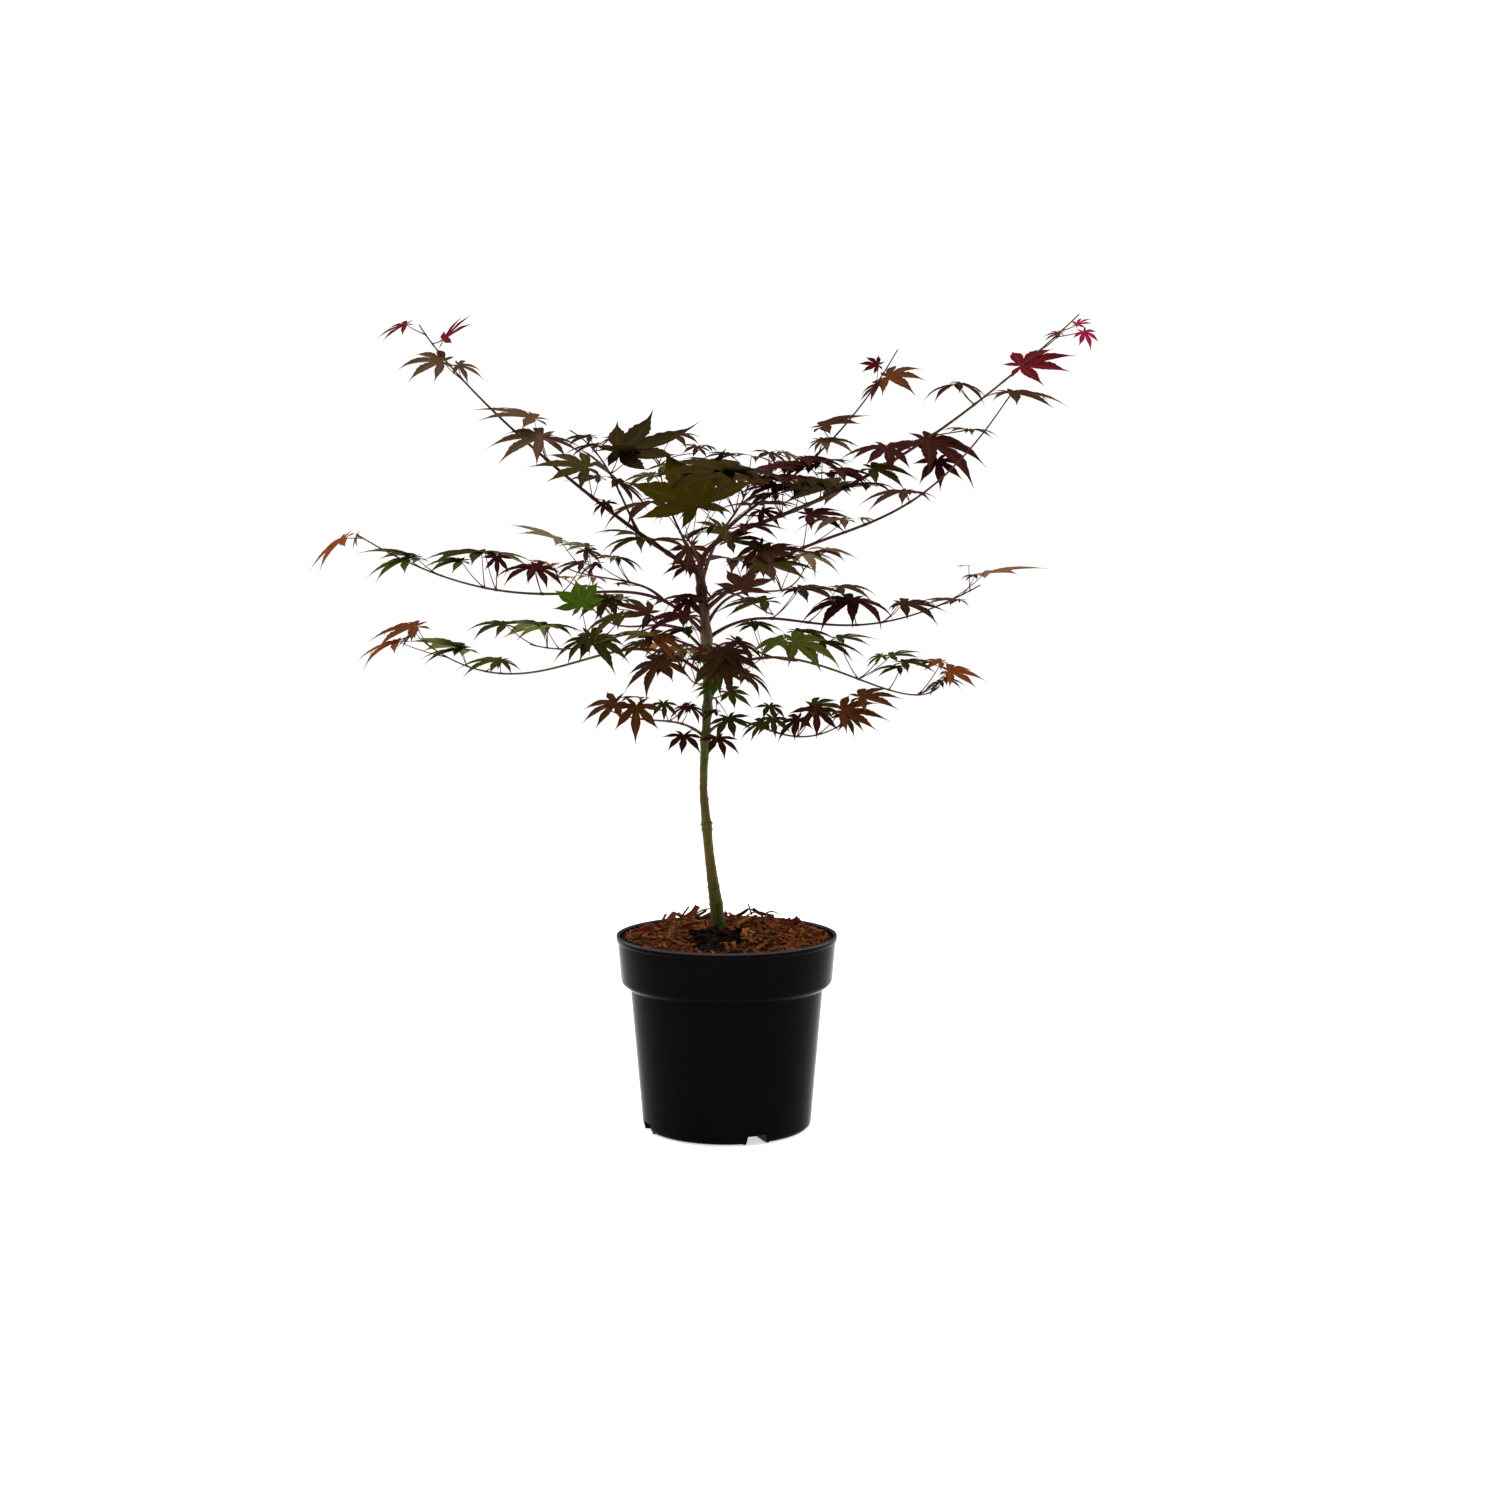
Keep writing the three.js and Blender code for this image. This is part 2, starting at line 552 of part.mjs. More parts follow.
// The trunk as a loft through its levels; "grow" widens it all round.
function makeTrunk(grow = 0) {
  const rod = new THREE.CylinderGeometry(1, 1, TRUNK.length - 1, TRUNK_SIDES, TRUNK.length - 1);
  const place = rod.attributes.position;
  for (let i = 0; i < place.count; i++) {
    const level = TRUNK[Math.round(place.getY(i) + (TRUNK.length - 1) / 2)];
    const r = level.r + grow;
    const z = level === TRUNK[TRUNK.length - 1] ? level.z + grow : level.z;
    place.setXYZ(i, level.x + place.getX(i) * r, level.y - place.getZ(i) * r, z);
  }
  return solidOf(rod);
}

const heading = (bearing, slope) =>
  new THREE.Vector3(
    Math.cos(rad(bearing)) * Math.cos(rad(slope)),
    Math.sin(rad(bearing)) * Math.cos(rad(slope)),
    Math.sin(rad(slope)),
  );

// The sweep of a limb as a curve.
function limbCurve(limb, start) {
  const chord = Math.hypot(limb.reach, limb.rise);
  const end = start.clone().addScaledVector(heading(limb.bearing, 0), limb.reach);
  end.z += limb.rise;
  const out = heading(limb.bearing + limb.swing, limb.leave);
  const onward = heading(limb.bearing - limb.swing, limb.arrive);
  const first = start.clone().addScaledVector(out, limb.spring * chord);
  const last = end.clone().addScaledVector(onward, -limb.sweep * chord);
  const curve = new THREE.CubicBezierCurve3(start, first, last, end);
  curve.arcLengthDivisions = CURVE_STEPS;
  return curve;
}

const limbRadius = (limb, share) =>
  THREE.MathUtils.lerp(limb.radius, TWIG.tipRadius, Math.pow(share, TWIG.taper));

const limbs = new Map();
Object.entries(LIMBS).forEach(([name, sizes], index) => {
  const parent = limbs.get(sizes.parent);
  const start = parent ? parent.curve.getPointAt(sizes.foot) : trunkAt(sizes.foot).middle;
  const curve = limbCurve(sizes, start);
  limbs.set(name, { ...sizes, name, index, parent, curve, length: curve.getLength() });
});

// A rod from the limb's foot, cut free of its parent by a clearance. Only the stretch outside stays.
function cutFree(limb, rod) {
  const { parent } = limb;
  const wide = (share) => limbRadius(parent, share) + CLEARANCE;
  const parentRoom = () => rodAlong(parent.curve, 0, parent.bare, wide, BOUGH.sides, 2 * BOUGH.rings);
  const pieces = rod.subtract(parent ? parentRoom() : trunkRoom).decompose();
  return pieces.reduce((a, b) => (b.volume() > a.volume() ? b : a));
}

function makeBough(limb) {
  const radiusAt = (share) => limbRadius(limb, share);
  return cutFree(limb, rodAlong(limb.curve, 0, limb.bare, radiusAt, BOUGH.sides, BOUGH.rings));
}

// ---- Leaves and shoots ----

// The outline of a leaf in its own plane, from the right of the stalk round the tip, which points along +X.
function leafOutline(draw) {
  const point = (angle, length) => at(length * Math.cos(rad(angle)), length * Math.sin(rad(angle)));
  const [middle, ...sides] = LEAF.lobes;
  const right = sides.map((lobe) => ({ ...lobe, angle: -lobe.angle })).reverse();
  const points = [];
  let before = null;
  for (const lobe of [...right, middle, ...sides]) {
    const length = lobe.length * draw(1 - LEAF.vary, 1 + LEAF.vary);
    const angle = lobe.angle + draw(-LEAF.veer, LEAF.veer);
    if (before) points.push(point((before.angle + angle) / 2, lobe.angle > 0 ? lobe.cut : before.cut));
    const spread = THREE.MathUtils.radToDeg(Math.atan2(lobe.width, LEAF.widestAt));
    if (lobe.width) points.push(point(angle - spread, LEAF.widestAt * length));
    points.push(point(angle, length));
    if (lobe.width) points.push(point(angle + spread, LEAF.widestAt * length));
    before = { angle, cut: lobe.cut };
  }
  return points;
}

// A blade's frame: its middle, the way its middle lobe points, and its left.
function bladeFrame(middle, facing, nod, roll) {
  const ahead = heading(facing, -nod);
  const left = heading(facing + 90, 0).applyAxisAngle(ahead, rad(roll));
  return new THREE.Matrix4().makeBasis(ahead, left, ahead.clone().cross(left)).setPosition(middle);
}

// One leaf of a pair: the foot of its stalk, its blade's frame and its size. Even pairs stand left and right
// of the twig and odd ones before and behind it. Every stalk climbs, so that the blades lie nearly level.
function pairedLeaf(limb, pair, side) {
  const draw = randomFrom(SEED + limb.index * 100 + pair * 10 + side);
  const share = pairShares(limb)[pair];
  const place = pair / (limb.pairs - 1);
  const length = THREE.MathUtils.lerp(...limb.leaf, place) * draw(...LEAF.spread);
  const root = limb.curve.getPointAt(share);
  const along = limb.curve.getTangentAt(share);
  const bearing = THREE.MathUtils.radToDeg(Math.atan2(along.y, along.x));
  const way = pair % 2 === 0 ? PAIRS.even : PAIRS.odd;
  const turn = side ? -draw(...way.otherTurn) : draw(...way.turn);
  const climb = draw(...way.climb);
  const reach = length * STALK.perLeaf * draw(...STALK.spread);
  const knee = root.clone().addScaledVector(heading(bearing + turn, climb), reach * STALK.kneeAt);
  const tip = knee.clone().addScaledVector(heading(bearing + turn, climb / 2), reach * (1 - STALK.kneeAt));
  const facing = bearing + turn + BLADE.turn * draw(-1, 1);
  const blade = bladeFrame(tip, facing, draw(...BLADE.nod), draw(-BLADE.roll, BLADE.roll));
  return { root, blade, length, draw };
}

// One leaf that has a row of its own. Its stalk leaves the twig, so not before the bough ends.
function placedLeaf(limb, row, number) {
  const [share, right, back, up, facing, nod, roll, length] = row;
  const root = limb.curve.getPointAt(Math.max(share, limb.bare + STALK.pastBough));
  const middle = limb.curve.getPointAt(share).add(new THREE.Vector3(right, back, up));
  const draw = randomFrom(SEED + limb.index * 100 + number);
  return { root, blade: bladeFrame(middle, facing, nod, roll), length, draw };
}

// A leaf with its stalk in one skin. The blade is a thin lens with hanging tips. The stalk is a three-sided
// rod whose first ring is the blade's notch.
function makeLeaf({ root, blade, length, draw }) {
  const outline = leafOutline(draw);
  const [top, bottom] = [outline.length, outline.length + 1];
  const hang = (x, y) => -LEAF.droop * (x * x + y * y);
  const notch = new THREE.Vector3(-LEAF.notch, 0, 0);
  const half = LEAF.thickness / 2;
  const points = outline.map((p) => new THREE.Vector3(p.x, p.y, hang(p.x, p.y)));
  points.push(new THREE.Vector3(0, 0, half), new THREE.Vector3(0, 0, -half));
  for (const p of points) p.multiplyScalar(length).applyMatrix4(blade);
  const faces = [];
  for (let i = 1; i < outline.length; i++) faces.push(top, i - 1, i, bottom, i, i - 1);

  const left = new THREE.Vector3().setFromMatrixColumn(blade, 1);
  const start = notch.multiplyScalar(length).applyMatrix4(blade);
  const away = start.clone().sub(root);
  const under = left.clone().cross(away).normalize().multiplyScalar(STALK.depth);
  const side = away.clone().cross(under).normalize().multiplyScalar(STALK.halfWidth);
  const [head, foot] = [start, root].map((end) => {
    points.push(end.clone().sub(side), end.clone().add(side), end.clone().add(under));
    return [points.length - 3, points.length - 2, points.length - 1];
  });
  const [right0, left0, under0] = head;
  const last = outline.length - 1;
  faces.push(top, last, left0, top, left0, right0, top, right0, 0);
  faces.push(bottom, left0, last, bottom, under0, left0, bottom, right0, under0, bottom, 0, right0);
  for (const j of [0, 1, 2]) {
    const next = (j + 1) % 3;
    faces.push(head[j], head[next], foot[next], head[j], foot[next], foot[j]);
  }
  faces.push(...foot);
  const skin = new THREE.BufferGeometry().setFromPoints(points);
  skin.setIndex(faces);
  return solidOf(skin);
}

// Where the pairs of leaves stand, as shares of the limb. The stretches get shorter towards the tip.
function pairShares(limb) {
  const first = limb.bare ? limb.bare + PAIRS.afterBough : PAIRS.firstOnBareFoot;
  const steps = Array.from({ length: limb.pairs - 1 }, (_, i) => Math.pow(PAIRS.shrink, i));
  const whole = steps.reduce((a, b) => a + b, 0);
  const shares = [first];
  for (const step of steps) shares.push(shares.at(-1) + ((PAIRS.last - first) * step) / whole);
  return shares;
}

// The bare twig of a shoot: what is left of the limb beyond its bough.
function makeTwig(limb) {
  const from = limb.bare ? limb.bare + CLEARANCE / limb.length : 0;
  const rings = Math.ceil(((1 - from) * limb.length) / TWIG.ringEvery);
  const rod = rodAlong(limb.curve, from, 1, (share) => limbRadius(limb, share), TWIG.sides, rings);
  return limb.bare ? rod : cutFree(limb, rod);
}

// The twig with its leaves fused on. A leaf that would come too near another solid is left out.
function makeShoot(limb, twig, others) {
  const isClear = (leaf) => others.every((other) => leaf.minGap(other, 2 * CLEARANCE) >= CLEARANCE);
  const placed = (PLACED_LEAVES[limb.name] ?? []).map((row, number) => placedLeaf(limb, row, number));
  const paired = Array.from({ length: 2 * (limb.pairs ?? 0) }, (_, i) =>
    pairedLeaf(limb, Math.floor(i / 2), i % 2),
  );
  let shoot = twig;
  for (const plan of [...placed, ...paired]) {
    const leaf = makeLeaf(plan);
    const fused = shoot.add(leaf).simplify(SLIVER);
    if (isClear(leaf) && fused.decompose().length === 1) shoot = fused;
  }
  return shoot;
}

// ---- The whole plant ----

const FINISHES = {
  pot: { color: 0x0b0a0b, roughness: 0.42, metalness: 0 },
  soil: { color: 0x4a2a14, roughness: 0.95, metalness: 0 },
  trunk: { color: 0x4b4f24, roughness: 0.7, metalness: 0 },
  bough: { color: 0x3a1c16, roughness: 0.65, metalness: 0 },
  green: { color: 0x2c3d0f, roughness: 0.6, metalness: 0 },
  olive: { color: 0x3b3512, roughness: 0.6, metalness: 0 },
  bronze: { color: 0x3a2412, roughness: 0.6, metalness: 0 },
  maroon: { color: 0x2c0f12, roughness: 0.6, metalness: 0 },
  orange: { color: 0x5e2c0e, roughness: 0.6, metalness: 0 },
};

const trunkRoom = makeTrunk(CLEARANCE);
const frame = new Map([
  ["pot", makePot()],
  ["soil", makeSoil()],
  ["trunk", makeTrunk()],
]);
const shoots = new Map();
for (const limb of limbs.values()) {
  if (limb.bare) frame.set(`${limb.name}_bough`, makeBough(limb));
  shoots.set(limb.name, makeTwig(limb));
}
for (const limb of limbs.values()) {
  const others = [...shoots].filter(([name]) => name !== limb.name).map(([, solid]) => solid);
  shoots.set(limb.name, makeShoot(limb, shoots.get(limb.name), [...frame.values(), ...others]));
}

const plant = new THREE.Group();
for (const [name, solid] of frame) plant.add(meshOf(name, solid, FINISHES[name] ?? FINISHES.bough));
for (const [name, solid] of shoots) {
  plant.add(meshOf(`${name}_foliage`, solid, FINISHES[limbs.get(name).tint]));
}

export default plant;
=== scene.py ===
import math

import bpy
import numpy as np
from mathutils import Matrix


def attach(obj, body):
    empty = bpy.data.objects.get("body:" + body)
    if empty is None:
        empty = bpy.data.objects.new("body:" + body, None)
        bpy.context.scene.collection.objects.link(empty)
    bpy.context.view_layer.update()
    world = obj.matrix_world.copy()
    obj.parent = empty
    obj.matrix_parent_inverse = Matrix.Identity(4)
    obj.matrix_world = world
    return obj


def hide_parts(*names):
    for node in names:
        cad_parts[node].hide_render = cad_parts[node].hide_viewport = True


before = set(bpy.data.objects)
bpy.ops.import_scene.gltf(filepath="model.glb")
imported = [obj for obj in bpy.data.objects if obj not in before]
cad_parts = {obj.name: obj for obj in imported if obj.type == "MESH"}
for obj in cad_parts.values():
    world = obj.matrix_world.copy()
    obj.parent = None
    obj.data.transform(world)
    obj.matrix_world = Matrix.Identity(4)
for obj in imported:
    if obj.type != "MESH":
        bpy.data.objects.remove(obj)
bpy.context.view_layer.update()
mm = 0.001
goldenAngle = 137.5  # degrees; spreads things evenly round a point


# ---- small helpers ----

def deselectAll():
    if bpy.context.mode != "OBJECT":
        bpy.ops.object.mode_set(mode="OBJECT")
    bpy.ops.object.select_all(action="DESELECT")


def makeActive(piece):
    deselectAll()
    piece.select_set(True)
    bpy.context.view_layer.objects.active = piece
    return piece


# Random numbers from a whole number, the same rule as the solids use, so that leaves land where theirs are
def randomFrom(seed):
    wrap = 0xFFFFFFFF
    state = (seed * 7919) & wrap

    def draw(low=0.0, high=1.0):
        nonlocal state
        state = (state + 0x6D2B79F5) & wrap
        bits = ((state ^ (state >> 15)) * (state | 1)) & wrap
        bits ^= (bits + (((bits ^ (bits >> 7)) * (bits | 61)) & wrap)) & wrap
        return low + (high - low) * ((bits ^ (bits >> 14)) & wrap) / 2**32

    return draw


def mix(a, b, share):
    return a + (b - a) * share


def toLinear(red, green, blue):
    shares = [value / 255 for value in (red, green, blue)]
    return tuple(v / 12.92 if v <= 0.04045 else ((v + 0.055) / 1.055) ** 2.4 for v in shares)


def turnedAbout(vector, axis, degrees):
    c, s = math.cos(math.radians(degrees)), math.sin(math.radians(degrees))
    return vector * c + np.cross(axis, vector) * s + axis * np.dot(axis, vector) * (1 - c)


def dress(piece, slot, finish, *nodes):
    piece.data.materials.clear()
    piece.data.materials.append(finish)
    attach(piece, "root")
    if nodes:
        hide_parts(*nodes)
    return piece


# ---- finishes ----

# A colour mix, of which the share and both colours are either sockets or flat numbers
def addMix(nodes, link, share, a, b, blend="MIX"):
    mixed = nodes.new("ShaderNodeMix")
    mixed.data_type = "RGBA"
    mixed.blend_type = blend
    for label, value in (("Factor", share), ("A", a), ("B", b)):
        if isinstance(value, bpy.types.NodeSocket):
            link(value, mixed.inputs[label])
        else:
            mixed.inputs[label].default_value = value
    return mixed.outputs["Result"]


# Turns one span of a value into another
def addRange(nodes, link, value, before, after):
    span = nodes.new("ShaderNodeMapRange")
    for label, number in zip(("From Min", "From Max", "To Min", "To Max"), (*before, *after)):
        span.inputs[label].default_value = number
    link(value, span.inputs["Value"])
    return span.outputs["Result"]


# Blotches between two colours, coarse ones with finer ones in them, and their height
def makeMottleGroup():
    group = bpy.data.node_groups.new("mottle", "ShaderNodeTree")
    sockets = {
        "INPUT": {"Place": "Vector", "Light": "Color", "Dark": "Color", "Scale": "Float",
                  "Contrast": "Float"},
        "OUTPUT": {"Color": "Color", "Mask": "Float", "Height": "Float"},
    }
    for side, kinds in sockets.items():
        for label, kind in kinds.items():
            group.interface.new_socket(label, in_out=side, socket_type="NodeSocket" + kind)
    nodes, link = group.nodes, group.links.new
    given = nodes.new("NodeGroupInput")
    out = nodes.new("NodeGroupOutput")
    noise = nodes.new("ShaderNodeTexNoise")
    noise.inputs["Detail"].default_value = 5
    noise.inputs["Roughness"].default_value = 0.62
    centred = nodes.new("ShaderNodeMath")
    centred.operation = "SUBTRACT"
    centred.inputs[1].default_value = 0.5
    sharper = nodes.new("ShaderNodeMath")
    sharper.operation = "MULTIPLY_ADD"
    sharper.inputs[2].default_value = 0.5
    mask = nodes.new("ShaderNodeClamp")
    link(given.outputs["Place"], noise.inputs["Vector"])
    link(given.outputs["Scale"], noise.inputs["Scale"])
    link(noise.outputs["Fac"], centred.inputs[0])
    link(centred.outputs[0], sharper.inputs[0])
    link(given.outputs["Contrast"], sharper.inputs[1])
    link(sharper.outputs[0], mask.inputs["Value"])
    colour = addMix(nodes, link, mask.outputs[0], given.outputs["Dark"], given.outputs["Light"])
    link(colour, out.inputs["Color"])
    link(mask.outputs[0], out.inputs["Mask"])
    link(noise.outputs["Fac"], out.inputs["Height"])
    return group


mottle = makeMottleGroup()


def newFinish(name, roughness, gloss=0.5):
    finish = bpy.data.materials.new(name)
    finish.use_nodes = True
    shader = finish.node_tree.nodes["Principled BSDF"]
    shader.inputs["Roughness"].default_value = roughness
    shader.inputs["Specular IOR Level"].default_value = gloss
    return finish, finish.node_tree.nodes, finish.node_tree.links.new, shader


# The place that a pattern reads: the piece's own coordinates, stretched by a Mapping node
def addPlace(nodes, link, stretch=(1, 1, 1)):
    coordinates = nodes.new("ShaderNodeTexCoord")
    mapping = nodes.new("ShaderNodeMapping")
    mapping.inputs["Scale"].default_value = stretch
    link(coordinates.outputs["Object"], mapping.inputs["Vector"])
    return mapping.outputs["Vector"]


def addMottle(nodes, link, place, light, dark, scale, contrast):
    node = nodes.new("ShaderNodeGroup")
    node.node_tree = mottle
    link(place, node.inputs["Place"])
    node.inputs["Light"].default_value = (*light, 1)
    node.inputs["Dark"].default_value = (*dark, 1)
    node.inputs["Scale"].default_value = scale
    node.inputs["Contrast"].default_value = contrast
    return node


def addBump(nodes, link, shader, height, strength, distance):
    bump = nodes.new("ShaderNodeBump")
    bump.inputs["Strength"].default_value = strength
    bump.inputs["Distance"].default_value = distance
    link(height, bump.inputs["Height"])
    link(bump.outputs["Normal"], shader.inputs["Normal"])


# Bark, chips and stalks: two colours in streaks, with the streaks as relief
def woodFinish(name, light, dark, scale=500, stretch=(1, 1, 0.15), roughness=0.62, relief=0.5):
    finish, nodes, link, shader = newFinish(name, roughness, 0.06)
    place = addPlace(nodes, link, stretch)
    streaks = addMottle(nodes, link, place, toLinear(*light), toLinear(*dark), scale, 3)
    link(streaks.outputs["Color"], shader.inputs["Base Color"])
    addBump(nodes, link, shader, streaks.outputs["Height"], relief, 0.3 * mm)
    return finish


# Leaf finish: upper side and paler underside, a thin lighter rib, faint blotches
leafSkin = {"roughness": 0.6, "gloss": 0.01, "blotches": (60, 1.6), "shades": (0.84, 0.86), "ribFrom": 0.82,
            "ribShare": 0.5}


def leafFinish(name, upper, under, rib):
    finish, nodes, link, shader = newFinish(name, leafSkin["roughness"], leafSkin["gloss"])
    place = addPlace(nodes, link)
    sides = []
    for colour, shade in zip((upper, under), leafSkin["shades"]):
        dark = toLinear(*(shade * c for c in colour))
        blotches = addMottle(nodes, link, place, toLinear(*colour), dark, *leafSkin["blotches"])
        sides.append(blotches.outputs["Color"])
    facing = nodes.new("ShaderNodeNewGeometry")
    colour = addMix(nodes, link, facing.outputs["Backfacing"], *sides)
    along = nodes.new("ShaderNodeAttribute")
    along.attribute_name = "rib"
    onRib = addRange(nodes, link, along.outputs["Fac"], (leafSkin["ribFrom"], 1), (0, leafSkin["ribShare"]))
    link(addMix(nodes, link, onRib, colour, (*toLinear(*rib), 1)), shader.inputs["Base Color"])
    return finish


# ---- pot ----

# Radii and heights in millimetres. The walls stand up to 2.5 mm further out than the solid's
potSizes = {
    "sides": 128,
    "lipTop": 167.2,
    "outer": [(67.6, 0), (70.3, 0.8), (72.2, 2.6), (72.8, 5), (82.8, 120.6), (83.5, 121.2), (88.8, 125.2),
              (90.3, 126.8), (91, 129.2), (93.7, 161.6), (94.5, 162.3), (95, 163.6), (95, 165.8),
              (94.6, 166.8), (93.6, 167.2)],
    "inner": [(92.4, 166.9), (91.8, 165.4), (88.6, 127), (81.1, 119), (71.3, 2.2)],
    "drain": {"bearings": (-69, 21, 111, 201), "width": 20, "topWidth": 16, "height": 8, "depth": 26},
    # round each channel and then cut out: how much wider, from what height, and out to which radius
    "roof": (1.6, 0.6, 71),
    "cut": (0, -4, 80),
    "smoothBelow": 38,
}
# The pale colour near the lip's top, and the two depths below the top over which it fades in, are a painted
# highlight along the lip's rounded edge
plastic = {"roughness": (0.14, 0.22), "gloss": 0.014, "film": ((10, 7, 8), (6, 4, 4)), "filmScale": 26,
           "lipHighlightPaint": (66, 60, 62), "lipHighlightBand": (1.9, 1.3), "grain": 260, "relief": 0.12}


# Black plastic with a thin uneven film, and a painted highlight: a lighter band round the lip's top, where
# light would catch its rounded edge
def plasticFinish():
    finish, nodes, link, shader = newFinish("pot black plastic", 0.2, plastic["gloss"])
    place = addPlace(nodes, link)
    light, dark = (toLinear(*colour) for colour in plastic["film"])
    film = addMottle(nodes, link, place, light, dark, plastic["filmScale"], 2)
    height = nodes.new("ShaderNodeSeparateXYZ")
    link(place, height.inputs[0])
    # painted highlight: the colour turns lighter from 1.9 mm below the lip's top and is fully light from 1.3
    # mm below it upwards
    edge = [(potSizes["lipTop"] - below) * mm for below in plastic["lipHighlightBand"]]
    lipHighlightBand = addRange(nodes, link, height.outputs["Z"], edge, (0, 1))
    lipHighlightPaint = (*toLinear(*plastic["lipHighlightPaint"]), 1)
    link(addMix(nodes, link, lipHighlightBand, film.outputs["Color"], lipHighlightPaint), shader.inputs["Base Color"])
    worn = addRange(nodes, link, film.outputs["Mask"], (0, 1), plastic["roughness"])
    link(worn, shader.inputs["Roughness"])
    grain = addMottle(nodes, link, place, (1, 1, 1), (0, 0, 0), plastic["grain"], 1)
    addBump(nodes, link, shader, grain.outputs["Height"], plastic["relief"], 0.2 * mm)
    return finish


# Walks a ring of edges up a turned outline: each step extrudes the ring, lifts it and sizes it
def extrudeRings(rings, startRadius, startHeight):
    radius, height = startRadius, startHeight
    for nextRadius, nextHeight in rings:
        bpy.ops.mesh.extrude_region_move(TRANSFORM_OT_translate={"value": (0, 0, (nextHeight - height) * mm)})
        size = nextRadius / radius
        bpy.ops.transform.resize(value=(size, size, 1), center_override=(0, 0, nextHeight * mm))
        radius, height = nextRadius, nextHeight


def turnedShell(name, outline, sides):
    deselectAll()
    radius, height = outline[0]
    bpy.ops.mesh.primitive_circle_add(vertices=sides, radius=radius * mm, location=(0, 0, height * mm))
    piece = bpy.context.object
    piece.name = piece.data.name = name
    bpy.ops.object.transform_apply(location=True)
    bpy.ops.object.mode_set(mode="EDIT")
    bpy.ops.mesh.select_all(action="SELECT")
    extrudeRings(outline[1:], radius, height)
    bpy.ops.mesh.edge_face_add()  # the last ring is closed
    bpy.ops.mesh.select_all(action="DESELECT")
    bpy.ops.object.mode_set(mode="OBJECT")
    for vertex in piece.data.vertices[:sides]:
        vertex.select = True
    bpy.ops.object.mode_set(mode="EDIT")
    bpy.ops.mesh.edge_face_add()  # and the first
    bpy.ops.mesh.select_all(action="SELECT")
    bpy.ops.mesh.normals_make_consistent(inside=False)
    bpy.ops.object.mode_set(mode="OBJECT")
    return piece


# A channel with leaning sides at the pot's foot, or, with some extra, the roof round it
def drainBlock(bearing, sizes, extra, low, end):
    deselectAll()
    bpy.ops.mesh.primitive_cube_add(size=1, location=(0, 0, 0))
    block = bpy.context.object
    bpy.ops.object.mode_set(mode="EDIT")
    bpy.ops.mesh.select_all(action="SELECT")
    depth, high = end - potSizes["outer"][3][0] + sizes["depth"] + extra, sizes["height"] + extra
    bpy.ops.transform.resize(value=(depth * mm, (sizes["width"] + 2 * extra) * mm, (high - low) * mm))
    bpy.ops.mesh.select_all(action="DESELECT")
    bpy.ops.object.mode_set(mode="OBJECT")
    for face in block.data.polygons:
        face.select = face.normal.z > 0.5
    bpy.ops.object.mode_set(mode="EDIT")
    bpy.ops.transform.resize(value=(1, (sizes["topWidth"] + 2 * extra) / (sizes["width"] + 2 * extra), 1))
    bpy.ops.object.mode_set(mode="OBJECT")
    out, angle = (end - depth / 2) * mm, math.radians(bearing)
    block.location = (out * math.cos(angle), out * math.sin(angle), (high + low) / 2 * mm)
    block.rotation_euler = (0, 0, angle)
    return block


def joinOrCut(piece, block, operation):
    makeActive(piece)
    change = piece.modifiers.new("drain", "BOOLEAN")
    change.object = block
    change.operation = operation
    change.solver = "EXACT"
    bpy.ops.object.modifier_apply(modifier=change.name)
    bpy.data.objects.remove(block)


def makePot():
    pot = turnedShell("pot_shell", potSizes["outer"] + potSizes["inner"], potSizes["sides"])
    for bearing in potSizes["drain"]["bearings"]:
        joinOrCut(pot, drainBlock(bearing, potSizes["drain"], *potSizes["roof"]), "UNION")
        joinOrCut(pot, drainBlock(bearing, potSizes["drain"], *potSizes["cut"]), "DIFFERENCE")
    bpy.ops.object.shade_smooth_by_angle(angle=math.radians(potSizes["smoothBelow"]))
    return dress(pot, "pot", plasticFinish(), "pot")


makePot()
print("pot done")


# ---- wood: trunk, boughs, twigs and stalks as tapering tubes ----

# One mesh of closed tubes from lines of points and their radii, both in millimetres
def makeTubes(name, lines, roundness):
    curve = bpy.data.curves.new(name, "CURVE")
    curve.dimensions = "3D"
    curve.bevel_depth = mm
    curve.bevel_resolution = roundness
    curve.use_fill_caps = True
    for points, radii in lines:
        spline = curve.splines.new("POLY")
        spline.points.add(len(points) - 1)
        spline.points.foreach_set("co", np.c_[points * mm, np.ones(len(points))].ravel())
        spline.points.foreach_set("radius", radii)
    piece = bpy.data.objects.new(name, curve)
    bpy.context.collection.objects.link(piece)
    makeActive(piece)
    bpy.ops.object.convert(target="MESH")
    piece = bpy.context.object
    bpy.ops.object.shade_smooth()
    return piece


# Pushes a piece's skin in and out by a cloud pattern, for relief that is in the mesh
def addRelief(piece, size, strength):
    clouds = bpy.data.textures.new(piece.name + " relief", "CLOUDS")
    clouds.noise_scale = size * mm
    clouds.noise_depth = 2
    relief = piece.modifiers.new("relief", "DISPLACE")
    relief.texture = clouds
    relief.texture_coords = "LOCAL"
    relief.strength = strength * mm
    makeActive(piece)
    bpy.ops.object.modifier_apply(modifier=relief.name)


# Points on a bow from root to tip that leans towards the knee, and their shares of it
def bowPoints(root, knee, tip, count=6):
    t = np.linspace(0, 1, count)[:, None]
    return (1 - t) ** 2 * root + 2 * t * (1 - t) * knee + t * t * tip, t.ravel()


# Many small meshes gathered into one piece
class Heap:
    def __init__(self):
        self.points = []
        self.faces = []
        self.ribs = []
        self.count = 0

    def add(self, points, faces):
        self.faces += [tuple(corner + self.count for corner in face) for face in faces]
        self.points.append(points)
        self.count += len(points)

    def makePiece(self, name):
        mesh = bpy.data.meshes.new(name)
        mesh.from_pydata((np.concatenate(self.points) * mm).tolist(), [], self.faces)
        piece = bpy.data.objects.new(name, mesh)
        bpy.context.collection.objects.link(piece)
        return piece


